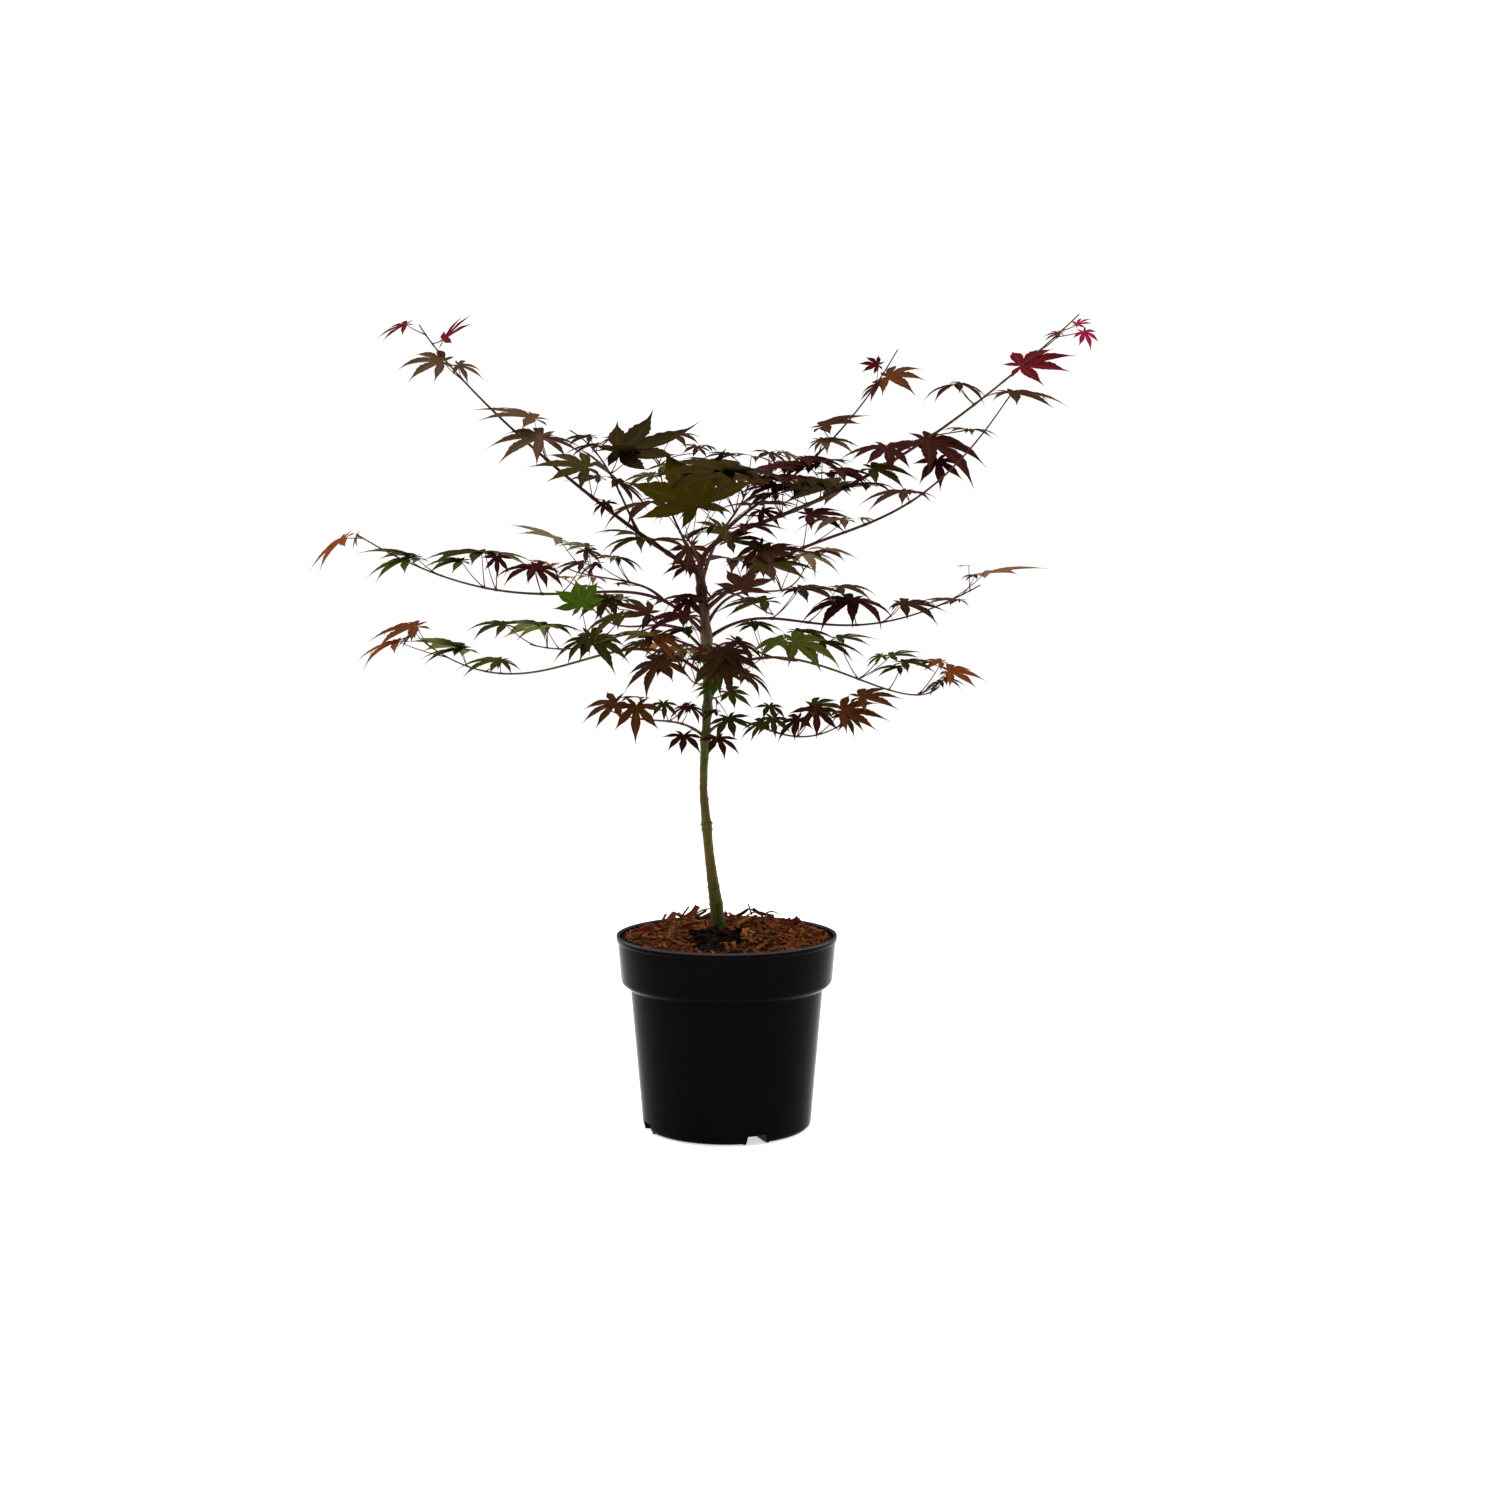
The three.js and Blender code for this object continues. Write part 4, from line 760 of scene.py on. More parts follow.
# A leaf's outline and ribs, flat, with its middle lobe along +X, one unit long. Gives points, faces, how near
# each point is to a rib, how much each point bends down, and how far it stands up from its fold.
def leafShape(draw, big, wide):
    lobes = leafLook["lobes"]
    row = [(-a, l, w, c) for a, l, w, c in lobes[:0:-1]] + lobes
    profile = leafLook["bigProfile"] if big else leafLook["profile"]
    heelAngle, heelCut = leafLook["heel"]
    angles, lengths = [], []
    for angle, length, _, _ in row:
        lengths.append(length * draw(1 - leafLook["vary"], 1 + leafLook["vary"]))
        angles.append(angle + draw(-leafLook["veer"], leafLook["veer"]))
    points, ribs, bends, lifts, faces = [(0, 0)], [1], [1], [0], []

    def put(x, y, rib, bend, lift):
        points.append((x, y))
        ribs.append(rib)
        bends.append(bend)
        lifts.append(lift)
        return len(points) - 1

    gaps = []
    for k in range(len(row) + 1):
        if k == 0:
            angle, cut = angles[0] - heelAngle, heelCut
        elif k == len(row):
            angle, cut = angles[-1] + heelAngle, heelCut
        else:
            angle, cut = (angles[k - 1] + angles[k]) / 2, row[k][3] if row[k][0] > 0 else row[k - 1][3]
        way = heading(angle, 0)[:2]
        spots = [put(*way * reach, 0, 1, reach * leafLook["cutLift"]) for reach in (cut * 0.55, cut)]
        gaps.append((spots, cut))
    for k, (_, _, width, _) in enumerate(row):
        a, length = math.radians(angles[k]), lengths[k]
        bend = draw(*leafLook["lobeBend"])
        sickle = draw(-leafLook["sickle"], leafLook["sickle"])
        base = (gaps[k][1] + gaps[k + 1][1]) / 2

        def lobePoint(along, across, rib):
            t = max(0, along - base) / (length - base)
            y = across + sickle * t * t * length
            x = along * math.cos(a) - y * math.sin(a)
            return put(x, along * math.sin(a) + y * math.cos(a), rib, mix(1, bend, t), abs(across))

        right, left = gaps[k][0], gaps[k + 1][0]
        middle = [lobePoint(base * s, 0, 1) for s in (0.5, 0.95)]
        faces += [(0, right[0], middle[0]), (0, middle[0], left[0])]
        faces += [(right[0], right[1], middle[1], middle[0]), (middle[0], middle[1], left[1], left[0])]
        lastRight, lastMiddle, lastLeft = right[1], middle[1], left[1]
        for t, share in profile if width > leafLook["slim"] else profile[1::2]:
            along, across = mix(base, length, t), width * share * wide
            nowRight = lobePoint(along, -across, 0)
            nowMiddle = lobePoint(along + 0.01, 0, 1)
            nowLeft = lobePoint(along, across, 0)
            faces.append((lastRight, nowRight, nowMiddle, lastMiddle))
            faces.append((lastMiddle, nowMiddle, nowLeft, lastLeft))
            lastRight, lastMiddle, lastLeft = nowRight, nowMiddle, nowLeft
        tip = lobePoint(length, 0, 1)
        faces += [(lastRight, tip, lastMiddle), (lastMiddle, tip, lastLeft)]
    return np.array(points), faces, np.array(ribs), np.array(bends), np.array(lifts)


# Lays a flat leaf over a bend, so that its lobes keep their length and their tips hang
# (the numbers are those of Fresnel's integrals, which describe such a bend)
def bendLeaf(points, bends, lifts, bend, fold):
    reach = np.hypot(points[:, 0], points[:, 1])
    angle = bend * bends * reach**2  # nearly flat in the middle, steep at the tips
    flat = 1 - angle**2 / 10 + angle**4 / 216
    height = -reach * (angle / 3 - angle**3 / 42) + fold * lifts * np.cos(angle)
    return np.c_[points[:, 0] * flat, points[:, 1] * flat, height]


# A leaf whose blade starts at origin and faces a bearing, with a dip of its middle lobe and a roll. The skew
# turns the blade's length but not its width, so that the two aren't quite square.
def addLeaf(tint, draw, origin, facing, nod, roll, length, bend=None, wide=1, skew=0):
    ahead = heading(facing + skew, -nod)
    left = turnedAbout(heading(facing + 90, 0), ahead, roll)
    points, faces, ribs, bends, lifts = leafShape(draw, length > leafLook["bigFrom"], wide)
    shape = bendLeaf(points, bends, lifts, bend or draw(*leafLook["bend"]), leafLook["fold"])
    up = np.cross(ahead, left)
    heap = leafHeaps.setdefault(tint, Heap())
    heap.add(origin + length * (shape[:, :1] * ahead + shape[:, 1:2] * left + shape[:, 2:] * up), faces)
    heap.ribs.append(ribs)


def addStalk(root, knee, head):
    points, shares = bowPoints(root, knee, head)
    foot = stalkLook["footRadius"]
    widths = (foot * stalkLook["flare"], foot, stalkLook["headRadius"])
    radii = np.interp(shares, (0, stalkLook["flareUntil"], 1), widths)
    stalkLines.append((points, radii))


def placeLeaf(number, limb, percent, right, back, up, facing, nod, roll, length, tint, bend, wide=100):
    draw = randomFrom(seeds["placed"] + number)
    share = percent / 100
    limb["knots"].add(share)
    root = limb["line"].at(share)
    tip = root + np.array((right, back, up))
    skew = draw(*leafLook["skew"])
    addLeaf(tint, draw, tip, facing, nod, roll, length, bend / 100, wide / 100, skew)
    addStalk(root, root + (tip - root) * stalkLook["knee"], tip)


# A grown leaf's stalk: length as a share of the blade's, place of its knee, turn from the limb on either side
# and climb, each for even and odd pairs; then the blade's size, twist, dip and roll
grownLook = {
    "stalk": 0.95,
    "spread": (0.8, 1.25),
    "kneeAt": 0.6,
    "turns": (((35, 70), (95, 150)), ((35, 70), (-12, 25))),
    "climbs": ((42, 66), (52, 78)),
    "size": (0.88, 1.12),
    "twist": 30,
    "nod": (-11, 16),
    "roll": (-16, 16),
}


def limbPoint(limb, share):
    along = limb["line"].along(share)
    return limb["line"].at(share), math.degrees(math.atan2(along[1], along[0]))


def leafLength(limb, pair):
    return mix(*limb["leaf"], pair / (limb["pairs"] - 1))


def tintAt(limb, pair, shift=0):
    place = int(len(limb["tints"]) * (pair + 0.5) / limb["pairs"]) + shift
    return limb["tints"][min(len(limb["tints"]) - 1, max(0, place))]


# One leaf of a pair, planned by the rule that the solids use
def growLeaf(limb, pair, side):
    draw = randomFrom(seeds["grown"] + limb["index"] * 100 + pair * 10 + side)
    share = pairShares(limb)[pair]
    limb["knots"].add(share)
    length = leafLength(limb, pair) * draw(*grownLook["size"])
    root, bearing = limbPoint(limb, share)
    way = bearing + (1 - 2 * side) * draw(*grownLook["turns"][side][pair % 2])
    climb = draw(*grownLook["climbs"][pair % 2])
    reach = length * grownLook["stalk"] * draw(*grownLook["spread"])
    knee = root + heading(way, climb) * reach * grownLook["kneeAt"]
    tip = knee + heading(way, climb / 2) * reach * (1 - grownLook["kneeAt"])
    facing = way + grownLook["twist"] * draw(-1, 1)
    nod = draw(*grownLook["nod"])
    roll = draw(*grownLook["roll"])
    addLeaf(tintAt(limb, pair), draw, tip, facing, nod, roll, length)
    addStalk(root, knee, tip)


# Short side sprigs that the solids leave out: a thin twig with a pair of small leaves at its end
sprigLook = {
    "chance": 0.62,
    "before": (0, 0.03),  # the pair of leaves, as a share of the limb
    "turn": (40, 80),
    "climb": (15, 55),
    "length": (16, 40),
    "knee": (0.7, 20, 0.5),  # share of the turn, degrees over the climb, share of the length
    "radiiAt": (0, 0.15, 1),
    "radii": (0.91, 0.63, 0.42),
    "leaf": (0.5, 0.78),  # of the limb's leaves
    "part": (30, 75),
    "stalk": (0.6, 1),
    "stalkClimb": (30, 65),
    "lastClimb": 20,
    "twist": (-25, 25),
    "nod": (-12, 34),
    "roll": (-16, 16),
    "tintShift": (-0.8, 1.8),
}


def growSprig(limb, pair, side):
    draw = randomFrom(seeds["sprigs"] + limb["index"] * 100 + pair * 10 + side)
    if draw() > sprigLook["chance"]:
        return
    root, bearing = limbPoint(limb, pairShares(limb)[pair] - draw(*sprigLook["before"]))
    turn = draw(*sprigLook["turn"]) * (1 - 2 * side)
    climb = draw(*sprigLook["climb"])
    reach = draw(*sprigLook["length"])
    end = root + heading(bearing + turn, climb) * reach
    turned, raised, kneeAt = sprigLook["knee"]
    knee = root + heading(bearing + turn * turned, climb + raised) * reach * kneeAt
    points, shares = bowPoints(root, knee, end)
    sprigLines.append((points, np.interp(shares, sprigLook["radiiAt"], sprigLook["radii"])))
    for hand in (1, -1):
        way = bearing + turn + hand * draw(*sprigLook["part"])
        length = leafLength(limb, pair) * draw(*sprigLook["leaf"])
        stalk = length * draw(*sprigLook["stalk"])
        knee = end + heading(way, draw(*sprigLook["stalkClimb"])) * stalk * grownLook["kneeAt"]
        tip = knee + heading(way, sprigLook["lastClimb"]) * stalk * (1 - grownLook["kneeAt"])
        facing = way + draw(*sprigLook["twist"])
        nod = draw(*sprigLook["nod"])
        roll = draw(*sprigLook["roll"])
        tint = tintAt(limb, pair, int(draw(*sprigLook["tintShift"])))
        addLeaf(tint, draw, tip, facing, nod, roll, length)
        addStalk(end, knee, tip)


# Leaves that have dropped on the bark: middle, bearing, dip, roll, length, bend
fallenLeaves = [
    ((-66, 4, 168.5), 184, 0, -16, 16, 0.4),
    ((-60, 15, 170), 172, -3, -22, 13, 0.4),
    ((53, 44, 169), -6, -3, 20, 16, 0.4),
]


def growLeaves():
    for name in grownLeaves:
        for pair in range(limbs[name]["pairs"]):
            for side in (0, 1):
                growLeaf(limbs[name], pair, side)
                growSprig(limbs[name], pair, side)
    number = 0
    for name, leaves in placedLeaves:
        for leaf in leaves:
            placeLeaf(number, limbs[name], *leaf)
            number += 1
    for number, (middle, *blade) in enumerate(fallenLeaves):
        addLeaf("crimson", randomFrom(seeds["fallen"] + number), np.array(middle), *blade)


growLeaves()

leafTints = {
    # upper side, underside, rib; the record's slot
    "crimson": ((94, 12, 22), (90, 20, 28), (122, 48, 46), "maroon_leaves"),
    "pink": ((150, 20, 54), (150, 36, 62), (170, 76, 84), "maroon_leaves"),
    "maroon": ((58, 23, 17), (64, 36, 23), (86, 48, 34), "maroon_leaves"),
    "bronze": ((62, 36, 20), (76, 56, 34), (96, 66, 42), "bronze_leaves"),
    "dusky": ((84, 60, 40), (104, 88, 58), (112, 92, 64), "bronze_leaves"),
    "brown": ((48, 36, 13), (53, 41, 12), (70, 56, 28), "olive_leaves"),
    "moss": ((46, 38, 3), (56, 47, 5), (72, 62, 20), "olive_leaves"),
    "darkGreen": ((54, 50, 16), (66, 63, 24), (82, 78, 38), "green_leaves"),
    "olive": ((56, 48, 14), (70, 61, 22), (88, 80, 40), "olive_leaves"),
    "green": ((68, 70, 18), (86, 88, 32), (100, 100, 48), "green_leaves"),
    "brightGreen": ((56, 84, 8), (66, 90, 16), (90, 110, 40), "green_leaves"),
    "russet": ((86, 46, 19), (94, 58, 29), (110, 72, 42), "orange_leaves"),
    "rust": ((98, 51, 23), (108, 68, 36), (124, 86, 52), "orange_leaves"),
    "orange": ((120, 58, 20), (124, 76, 34), (142, 94, 50), "orange_leaves"),
}


def makeLeaves():
    nodes = [name + "_foliage" for name in limbs]
    for tint, heap in leafHeaps.items():
        piece = heap.makePiece("leaves_" + tint)
        rib = piece.data.attributes.new("rib", "FLOAT", "POINT")
        rib.data.foreach_set("value", np.concatenate(heap.ribs).astype(np.float32))
        makeActive(piece)
        bpy.ops.object.shade_smooth()
        upper, under, ribColour, slot = leafTints[tint]
        dress(piece, slot, leafFinish("leaf " + tint, upper, under, ribColour), *nodes)


makeLeaves()
print("leaves done")


# ---- trunk, boughs and twigs ----

twigLook = {"tipRadius": 0.55, "taper": 0.8, "step": 2.5, "knot": 0.35, "knotWidth": 1.6, "flare": 0.8,
            "flareFrom": 3, "flareWidth": 7, "boughRelief": (3, 0.35)}


# A limb's stretch as a tube with a knot at each pair of leaves
def woodLine(limb, start, end):
    line = limb["line"]
    count = max(3, int((end - start) * line.length / twigLook["step"]))
    shares = np.linspace(start, end, count)
    radii = mix(limb["radius"], twigLook["tipRadius"], shares ** twigLook["taper"])
    for share in sorted(limb["knots"]):
        off = (shares - share) * line.length / twigLook["knotWidth"]
        radii = radii * (1 + twigLook["knot"] * np.exp(-off * off))
    past = np.maximum(shares * line.length - twigLook["flareFrom"], 0)
    radii = radii + twigLook["flare"] * np.exp(-past / twigLook["flareWidth"])
    return line.at(shares), radii


def makeTrunk():
    heights = np.arange(trunkLevels[0, 0], trunkLevels[-1, 0] + trunkLook["overrun"], trunkLook["step"])
    window = trunkLook["smoothing"]

    def smoothed(values):
        return np.convolve(np.pad(values, window // 2, "edge"), np.ones(window) / window, "valid")

    x, y = (smoothed(values) for values in trunkAt(heights)[:2])
    radii = smoothed(np.interp(heights, trunkLevels[:, 0], trunkLevels[:, 3]))
    for height, rise in trunkLook["rings"]:
        radii += rise * np.exp(-((heights - height) / trunkLook["ringWidth"]) ** 2)
    for limb in limbs.values():
        if limb["name"] not in limbParents:
            middle = limb["foot"] - trunkLook["collarDrop"]
            radii += trunkLook["collar"] * np.exp(-((heights - middle) / trunkLook["collarWidth"]) ** 2)
    radii *= np.sqrt(np.clip((heights[-1] - heights) / trunkLook["topRound"], 0.05, 1))
    trunk = makeTubes("trunk_bark", [(np.c_[x, y, heights], radii)], 10)
    addRelief(trunk, *trunkLook["relief"])
    return trunk


def trunkFinish():
    finish, nodes, link, shader = newFinish("trunk bark", 0.6, 0.1)
    place = addPlace(nodes, link, (1, 1, 0.16))
    height = nodes.new("ShaderNodeSeparateXYZ")
    link(addPlace(nodes, link), height.inputs[0])
    ramp = nodes.new("ShaderNodeValToRGB")
    span = [level * mm for level in trunkLook["colourSpan"]]
    link(addRange(nodes, link, height.outputs["Z"], span, (0, 1)), ramp.inputs["Fac"])
    stops = ramp.color_ramp.elements
    while len(stops) < len(trunkLook["colours"]):
        stops.new(0.5)
    for stop, (where, colour) in zip(stops, trunkLook["colours"]):
        stop.position = where
        stop.color = (*toLinear(*colour), 1)
    streaks = addMottle(nodes, link, place, trunkLook["light"], trunkLook["dark"], *trunkLook["streaks"])
    tone = addMix(nodes, link, 1, ramp.outputs["Color"], streaks.outputs["Color"], "MULTIPLY")
    link(tone, shader.inputs["Base Color"])
    addBump(nodes, link, shader, streaks.outputs["Height"], 0.6, 0.5 * mm)
    return finish


woodTints = {
    "dark": ((84, 46, 36), (46, 24, 22)),
    "olive": ((102, 80, 46), (62, 46, 32)),
    "red": ((92, 40, 32), (58, 26, 22)),
}
oliveLimbs = {"right_leader", "left_middle", "left_arch", "right_arch", "left_whip", "left_foot",
              "right_foot", "back_foot"}


def makeWood():
    dress(makeTrunk(), "trunk_bark", trunkFinish(), "trunk")
    bare = [limb for limb in limbs.values() if limb["bare"]]
    boughs = makeTubes("boughs", [woodLine(limb, 0, limb["bare"]) for limb in bare], 3)
    addRelief(boughs, *twigLook["boughRelief"])
    nodes = [limb["name"] + "_bough" for limb in bare]
    dress(boughs, "bough_bark", woodFinish("bough bark", *woodTints["dark"]), *nodes)
    twigLines = {"dark": [], "olive": []}
    for limb in limbs.values():
        twigLines["olive" if limb["name"] in oliveLimbs else "dark"].append(woodLine(limb, limb["bare"], 1))
    twigLines["dark"] += sprigLines
    for kind, lines in twigLines.items():
        twigs = makeTubes("twigs_" + kind, lines, 2)
        dress(twigs, "bough_bark", woodFinish("twig " + kind, *woodTints[kind], relief=0.3))
    stalks = makeTubes("leaf_stalks", stalkLines, 0)
    dress(stalks, "bough_bark", woodFinish("stalk red", *woodTints["red"], relief=0.2))


makeWood()
print("wood done")


# ---- potting mix and bark chips ----

soilLook = {"wall": [(70, 11), (79, 119), (86, 127)], "edge": 164.2, "crown": 170.4, "crownRadius": 34,
            "radius": 90.4, "innermost": 3, "rings": 20, "sides": 96, "relief": (5, 3),
            "light": (70, 40, 24), "dark": (22, 13, 9)}


def soilHeight(reach):
    t = np.clip((reach - soilLook["crownRadius"]) / (soilLook["radius"] - soilLook["crownRadius"]), 0, 1)
    return mix(soilLook["crown"], soilLook["edge"], t * t * (3 - 2 * t))


def makeSoilBed():
    steps = np.linspace(soilLook["radius"], soilLook["innermost"], soilLook["rings"])
    outline = soilLook["wall"] + [(r, float(soilHeight(r))) for r in steps]
    bed = turnedShell("soil_bed", outline, soilLook["sides"])
    addRelief(bed, *soilLook["relief"])
    makeActive(bed)
    bpy.ops.object.shade_smooth()
    finish = woodFinish("soil", soilLook["light"], soilLook["dark"], 300, (1, 1, 1), 0.95, 1)
    return dress(bed, "bark_mulch", finish, "soil")


makeSoilBed()

# A chip is a split piece of bark: a cube cut finer, squashed and knocked about
chipShapes = {
    "splinter": {"size": (1, 0.2, 0.1), "cuts": 1, "rough": 0.04},
    "slab": {"size": (1, 0.36, 0.12), "cuts": 1, "rough": 0.07},
    "chunk": {"size": (1, 0.66, 0.4), "cuts": 1, "rough": 0.1},
    "shard": {"size": (1, 0.32, 0.1), "cuts": 1, "rough": 0.08},
}
chipColours = {
    "tan": ((156, 98, 46), (104, 58, 24)),
    "rust": ((132, 64, 32), (84, 37, 17)),
    "brown": ((102, 60, 32), (56, 30, 16)),
    "dark": ((34, 23, 15), (14, 10, 7)),
}
# Layers from the bottom up: count, length, tilt, height over the mix, shapes
chipLayers = [
    (2900, (1.4, 3.6), 40, (-0.5, 0.9), ("chunk", "shard", "splinter")),
    (1500, (3.4, 7.5), 28, (0, 1.8), ("splinter", "slab", "shard")),
    (150, (7, 15), 22, (0.8, 2.6), ("slab", "splinter", "splinter")),
    (34, (8, 15), 75, (2, 5), ("splinter", "slab", "splinter")),
]


def modelChip(shape, number):
    deselectAll()
    bpy.ops.mesh.primitive_cube_add(size=1)
    chip = bpy.context.object
    bpy.ops.object.mode_set(mode="EDIT")
    bpy.ops.mesh.select_all(action="SELECT")
    bpy.ops.transform.resize(value=shape["size"])
    bpy.ops.mesh.subdivide(number_cuts=shape["cuts"])
    bpy.ops.transform.vertex_random(offset=shape["rough"], uniform=0.4, seed=number)
    bpy.ops.object.mode_set(mode="OBJECT")
    points = np.array([vertex.co[:] for vertex in chip.data.vertices])
    faces = [tuple(face.vertices) for face in chip.data.polygons]
    bpy.data.objects.remove(chip)
    return points, faces


def turnMatrix(yaw, pitch, roll):
    (a, b, c) = (math.radians(v) for v in (yaw, pitch, roll))
    rz = np.array([[math.cos(a), -math.sin(a), 0], [math.sin(a), math.cos(a), 0], [0, 0, 1]])
    ry = np.array([[math.cos(b), 0, math.sin(b)], [0, 1, 0], [-math.sin(b), 0, math.cos(b)]])
    rx = np.array([[1, 0, 0], [0, math.cos(c), -math.sin(c)], [0, math.sin(c), math.cos(c)]])
    return rz @ ry @ rx


chipPatch = {"middle": (-8, -40), "squash": 0.6, "radius": 26, "ragged": (0.7, 1.1), "sunk": 0.4}
# Running shares of tan, rust and brown chips; the rest are dark
chipShares = {"left": (0.36, 0.6, 0.93), "right": (0.2, 0.68, 0.93)}


# Which colour a chip has, by where it lies: wet and dark in front of the trunk, paler left, redder right
def chipColour(x, y, draw):
    off = math.hypot(x - chipPatch["middle"][0], (y - chipPatch["middle"][1]) * chipPatch["squash"])
    if off < chipPatch["radius"] * draw(*chipPatch["ragged"]):
        return "dark"
    pick = draw()
    for colour, share in zip(("tan", "rust", "brown"), chipShares["left" if x < 0 else "right"]):
        if pick < share:
            return colour
    return "dark"


# Chips that stand out of the mix: x, y, z, length, turn, lean, colour
standingChips = [
    (-43, 68, 172, 13, 20, 24, "rust"), (-38, 64, 175, 12, 200, 50, "brown"),
    (-31, 66, 175, 14, 30, -38, "rust"), (-24, 62, 174, 12, 170, 30, "tan"),
    (-16, 66, 173, 12, 10, -24, "brown"), (6, 64, 172, 11, 30, 20, "rust"),
    (13, 66, 174, 13, 160, 34, "brown"), (20, 62, 178, 10, 20, 70, "rust"),
    (27, 66, 175, 12, 190, -30, "rust"), (36, 68, 172, 12, 10, 18, "brown"), (8, 8, 176, 10, 70, 60, "tan"),
    (14, 20, 175, 13, 10, -30, "tan"), (-50, -30, 169, 15, 30, 10, "tan"),
    (-38, -52, 168, 14, 150, -12, "tan"), (-58, 4, 170, 13, 60, 14, "tan"), (24, -20, 171, 13, 20, 24, "tan"),
    (40, 6, 171, 12, 120, -18, "rust"), (-24, -8, 172, 13, 140, 16, "tan"),
]

# How far chips keep from the wall, plus a share of their length; jitter in degrees; models of each shape
chipSpread = {"margin": 1, "overhang": 0.4, "jitter": (-30, 30), "models": 3, "standingRoll": 20}


def scatterChips():
    models = {}
    kinds = chipSpread["models"]
    for i, (name, shape) in enumerate(chipShapes.items()):
        models[name] = [modelChip(shape, kinds * i + k) for k in range(kinds)]
    heaps = {colour: Heap() for colour in chipColours}
    draw = randomFrom(seeds["chips"])
    for count, lengths, tilt, lifts, shapes in chipLayers:
        for i in range(count):
            length = draw(*lengths)
            room = soilLook["radius"] - chipSpread["margin"] - length * chipSpread["overhang"]
            reach = room * math.sqrt((i + draw()) / count)
            x, y, _ = heading(i * goldenAngle + draw(*chipSpread["jitter"]), 0) * reach
            shape = shapes[int(draw(0, len(shapes)))]
            points, faces = models[shape][int(draw(0, kinds))]
            turned = points * length @ turnMatrix(draw(0, 360), draw(-tilt, tilt), draw(-tilt, tilt)).T
            colour = chipColour(x, y, draw)
            sunk = chipPatch["sunk"] if colour == "dark" else 0
            heaps[colour].add(turned + (x, y, soilHeight(reach) + draw(*lifts) - sunk), faces)
    for i, (x, y, z, length, turn, lean, colour) in enumerate(standingChips):
        points, faces = models["slab"][i % kinds]
        turned = points * length @ turnMatrix(turn, lean, chipSpread["standingRoll"]).T
        heaps[colour].add(turned + (x, y, z), faces)
    for colour, heap in heaps.items():
        piece = heap.makePiece("bark_chips_" + colour)
        light, dark = chipColours[colour]
        dress(piece, "bark_mulch", woodFinish("chip " + colour, light, dark, 380, (1, 1, 1), 0.85, 0.8))


scatterChips()

# Loose fibres: one bent strand each, as root, middle and tip
fibres = [
    ((-34, 62, 169), (-22, 66, 181), (-8, 60, 178)), ((-52, 58, 167), (-45, 62, 177), (-41, 64, 174)),
    ((28, 66, 168), (38, 70, 180), (47, 70, 171)), ((14, 60, 170), (22, 64, 177), (31, 60, 176)),
    ((-66, -8, 165), (-58, -14, 172), (-49, -12, 168)), ((34, -30, 168), (44, -36, 174), (56, -34, 168)),
    ((-12, -58, 167), (-2, -62, 172), (8, -58, 168)), ((58, 22, 166), (62, 30, 173), (70, 34, 168)),
    ((-30, 30, 170), (-38, 34, 178), (-46, 30, 173)), ((6, 34, 170), (12, 40, 176), (20, 38, 174)),
]


def makeFibres():
    lines = []
    for strand in fibres:
        points, shares = bowPoints(*(np.array(place) for place in strand), 9)
        lines.append((points, np.interp(shares, (0, 0.5, 1), (0.6, 0.8, 0.35))))
    strands = makeTubes("bark_fibres", lines, 0)
    dress(strands, "bark_mulch", woodFinish("fibre", (140, 88, 46), (86, 48, 26), 400, (1, 1, 1), 0.85, 0.3))


makeFibres()
print("bark chips done")


# ---- studio ----

cameraSizes = {"place": (0.020, -1.900, 0.502), "down": 5.3, "lens": 53.64, "sensor": 36}


def makeCamera():
    data = bpy.data.cameras.new("camera")
    data.lens = cameraSizes["lens"]
    data.sensor_width = cameraSizes["sensor"]
    camera = bpy.data.objects.new("camera", data)
    camera.location = cameraSizes["place"]
    camera.rotation_euler = (math.radians(90 - cameraSizes["down"]), 0, 0)
    bpy.context.collection.objects.link(camera)
    bpy.context.scene.camera = camera


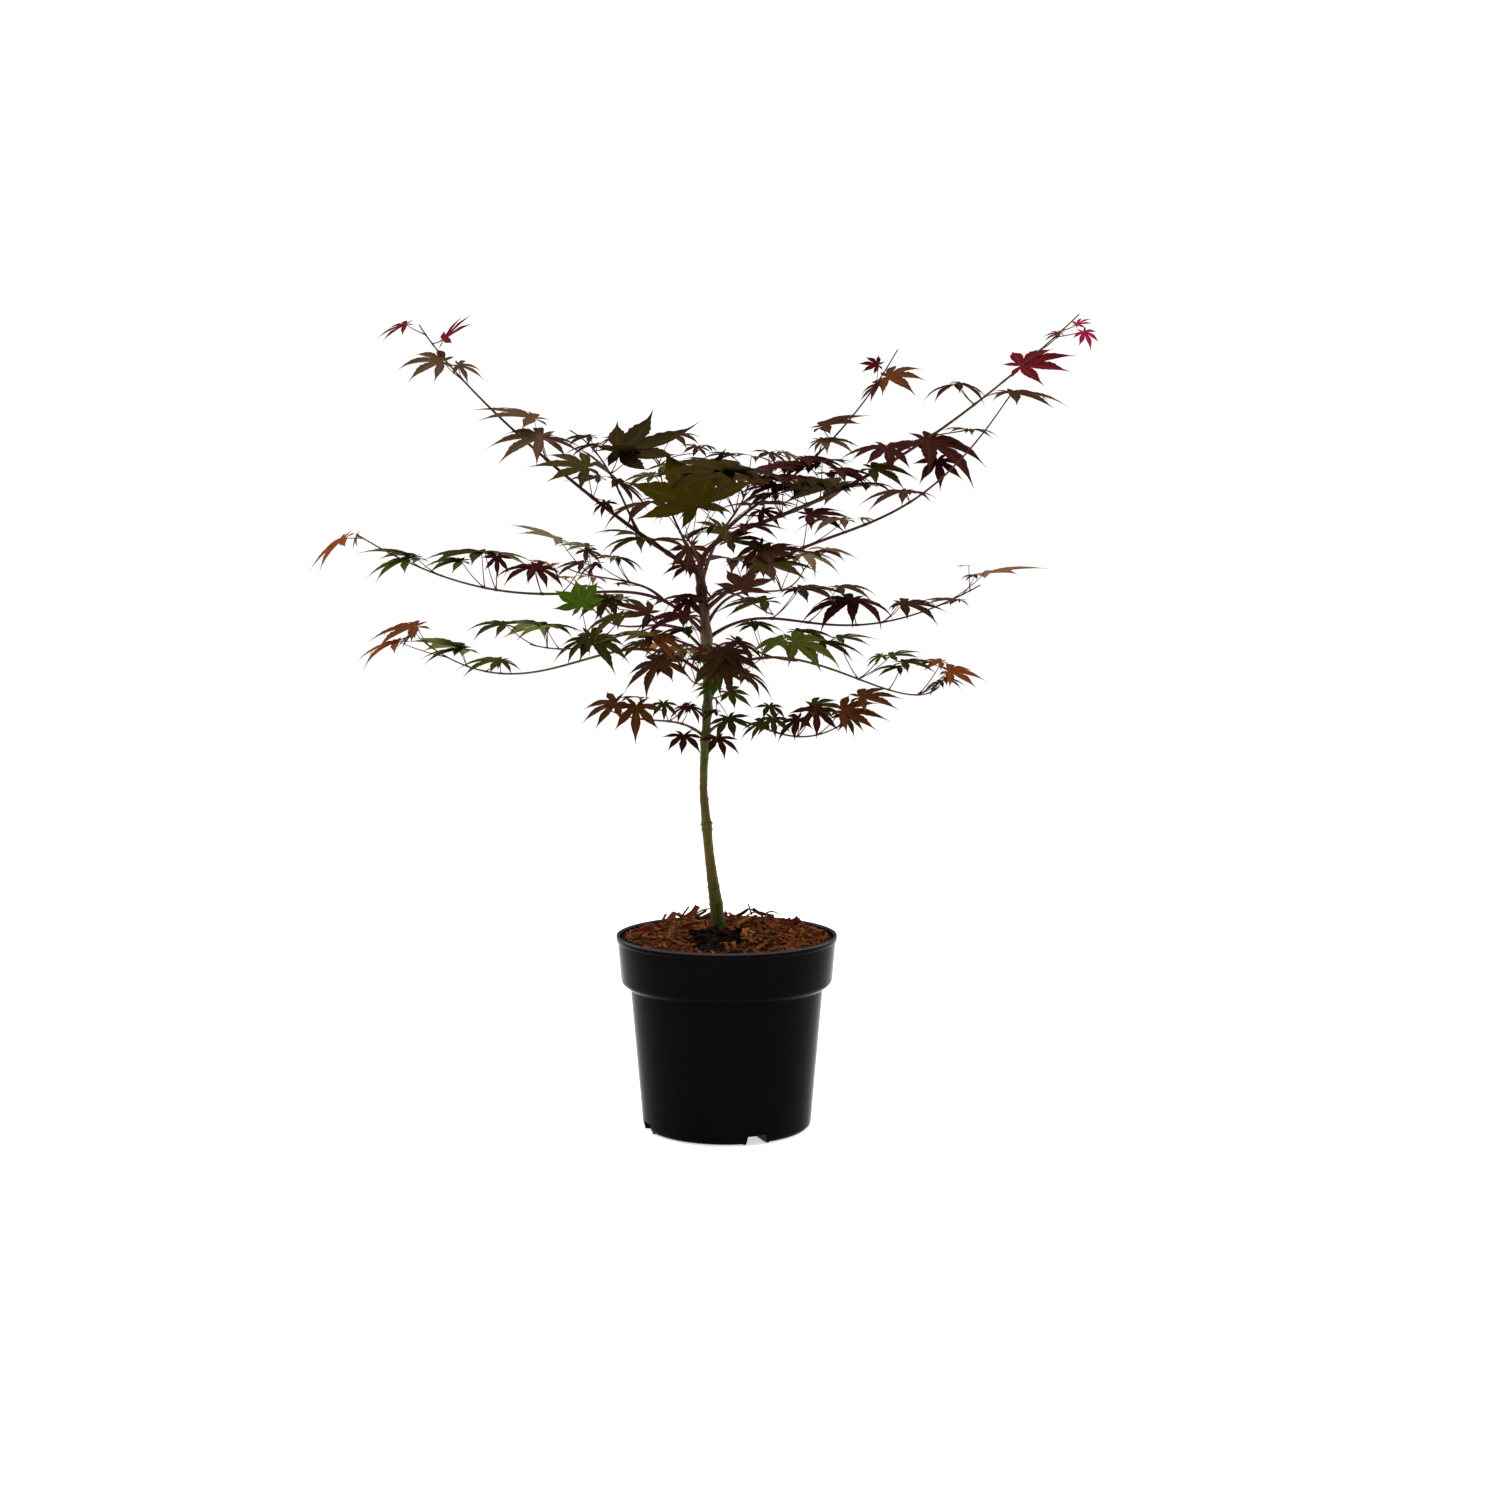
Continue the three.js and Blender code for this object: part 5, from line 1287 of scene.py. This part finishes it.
floorLook = {"size": 14, "drop": 0.0003, "grey": 0.86, "glow": 0.62}


def makeFloor():
    deselectAll()
    bpy.ops.mesh.primitive_plane_add(size=floorLook["size"], location=(0, 0, -floorLook["drop"]))
    floor = bpy.context.object
    floor.name = "floor"
    finish, _, _, shader = newFinish("floor", 0.9)
    shader.inputs["Base Color"].default_value = (*[floorLook["grey"]] * 3, 1)
    shader.inputs["Emission Color"].default_value = (1, 1, 1, 1)
    shader.inputs["Emission Strength"].default_value = floorLook["glow"]
    floor.data.materials.append(finish)


# Softboxes: place, size, power. They all aim at one point
softboxes = {
    "left softbox": ((-1.9, 0.9, 0.9), 1.3, 30),
    "right softbox": ((1.9, 0.9, 0.9), 1.3, 30),
    "top softbox": ((0, 0.1, 2.4), 2.2, 46),
}
lightAim = (0, 0, 0.3)


def addSoftboxes():
    for name, (place, size, power) in softboxes.items():
        data = bpy.data.lights.new(name, "AREA")
        data.size = size
        data.energy = power
        light = bpy.data.objects.new(name, data)
        light.location = place
        x, y, z = np.array(lightAim) - np.array(place)
        bpy.context.collection.objects.link(light)
        light.rotation_euler = (math.atan2(math.hypot(x, y), -z), 0, math.atan2(y, x) - math.pi / 2)


# White where the camera sees it, softer as a light, faint in reflections
worldLook = {"seen": 1.05, "unseen": (0.5, 0.06)}


def makeWorld():
    world = bpy.data.worlds.new("studio")
    bpy.context.scene.world = world
    world.use_nodes = True
    nodes, link = world.node_tree.nodes, world.node_tree.links.new
    ray = nodes.new("ShaderNodeLightPath")
    unseen = addRange(nodes, link, ray.outputs["Is Glossy Ray"], (0, 1), worldLook["unseen"])
    strength = addRange(nodes, link, ray.outputs["Is Camera Ray"], (0, 1), (0, worldLook["seen"]))
    link(unseen, strength.node.inputs["To Min"])
    link(strength, nodes["Background"].inputs["Strength"])
    nodes["Background"].inputs["Color"].default_value = (1, 1, 1, 1)


makeCamera()
makeFloor()
makeWorld()
addSoftboxes()
bpy.context.scene.view_settings.view_transform = "Standard"
print("studio done")
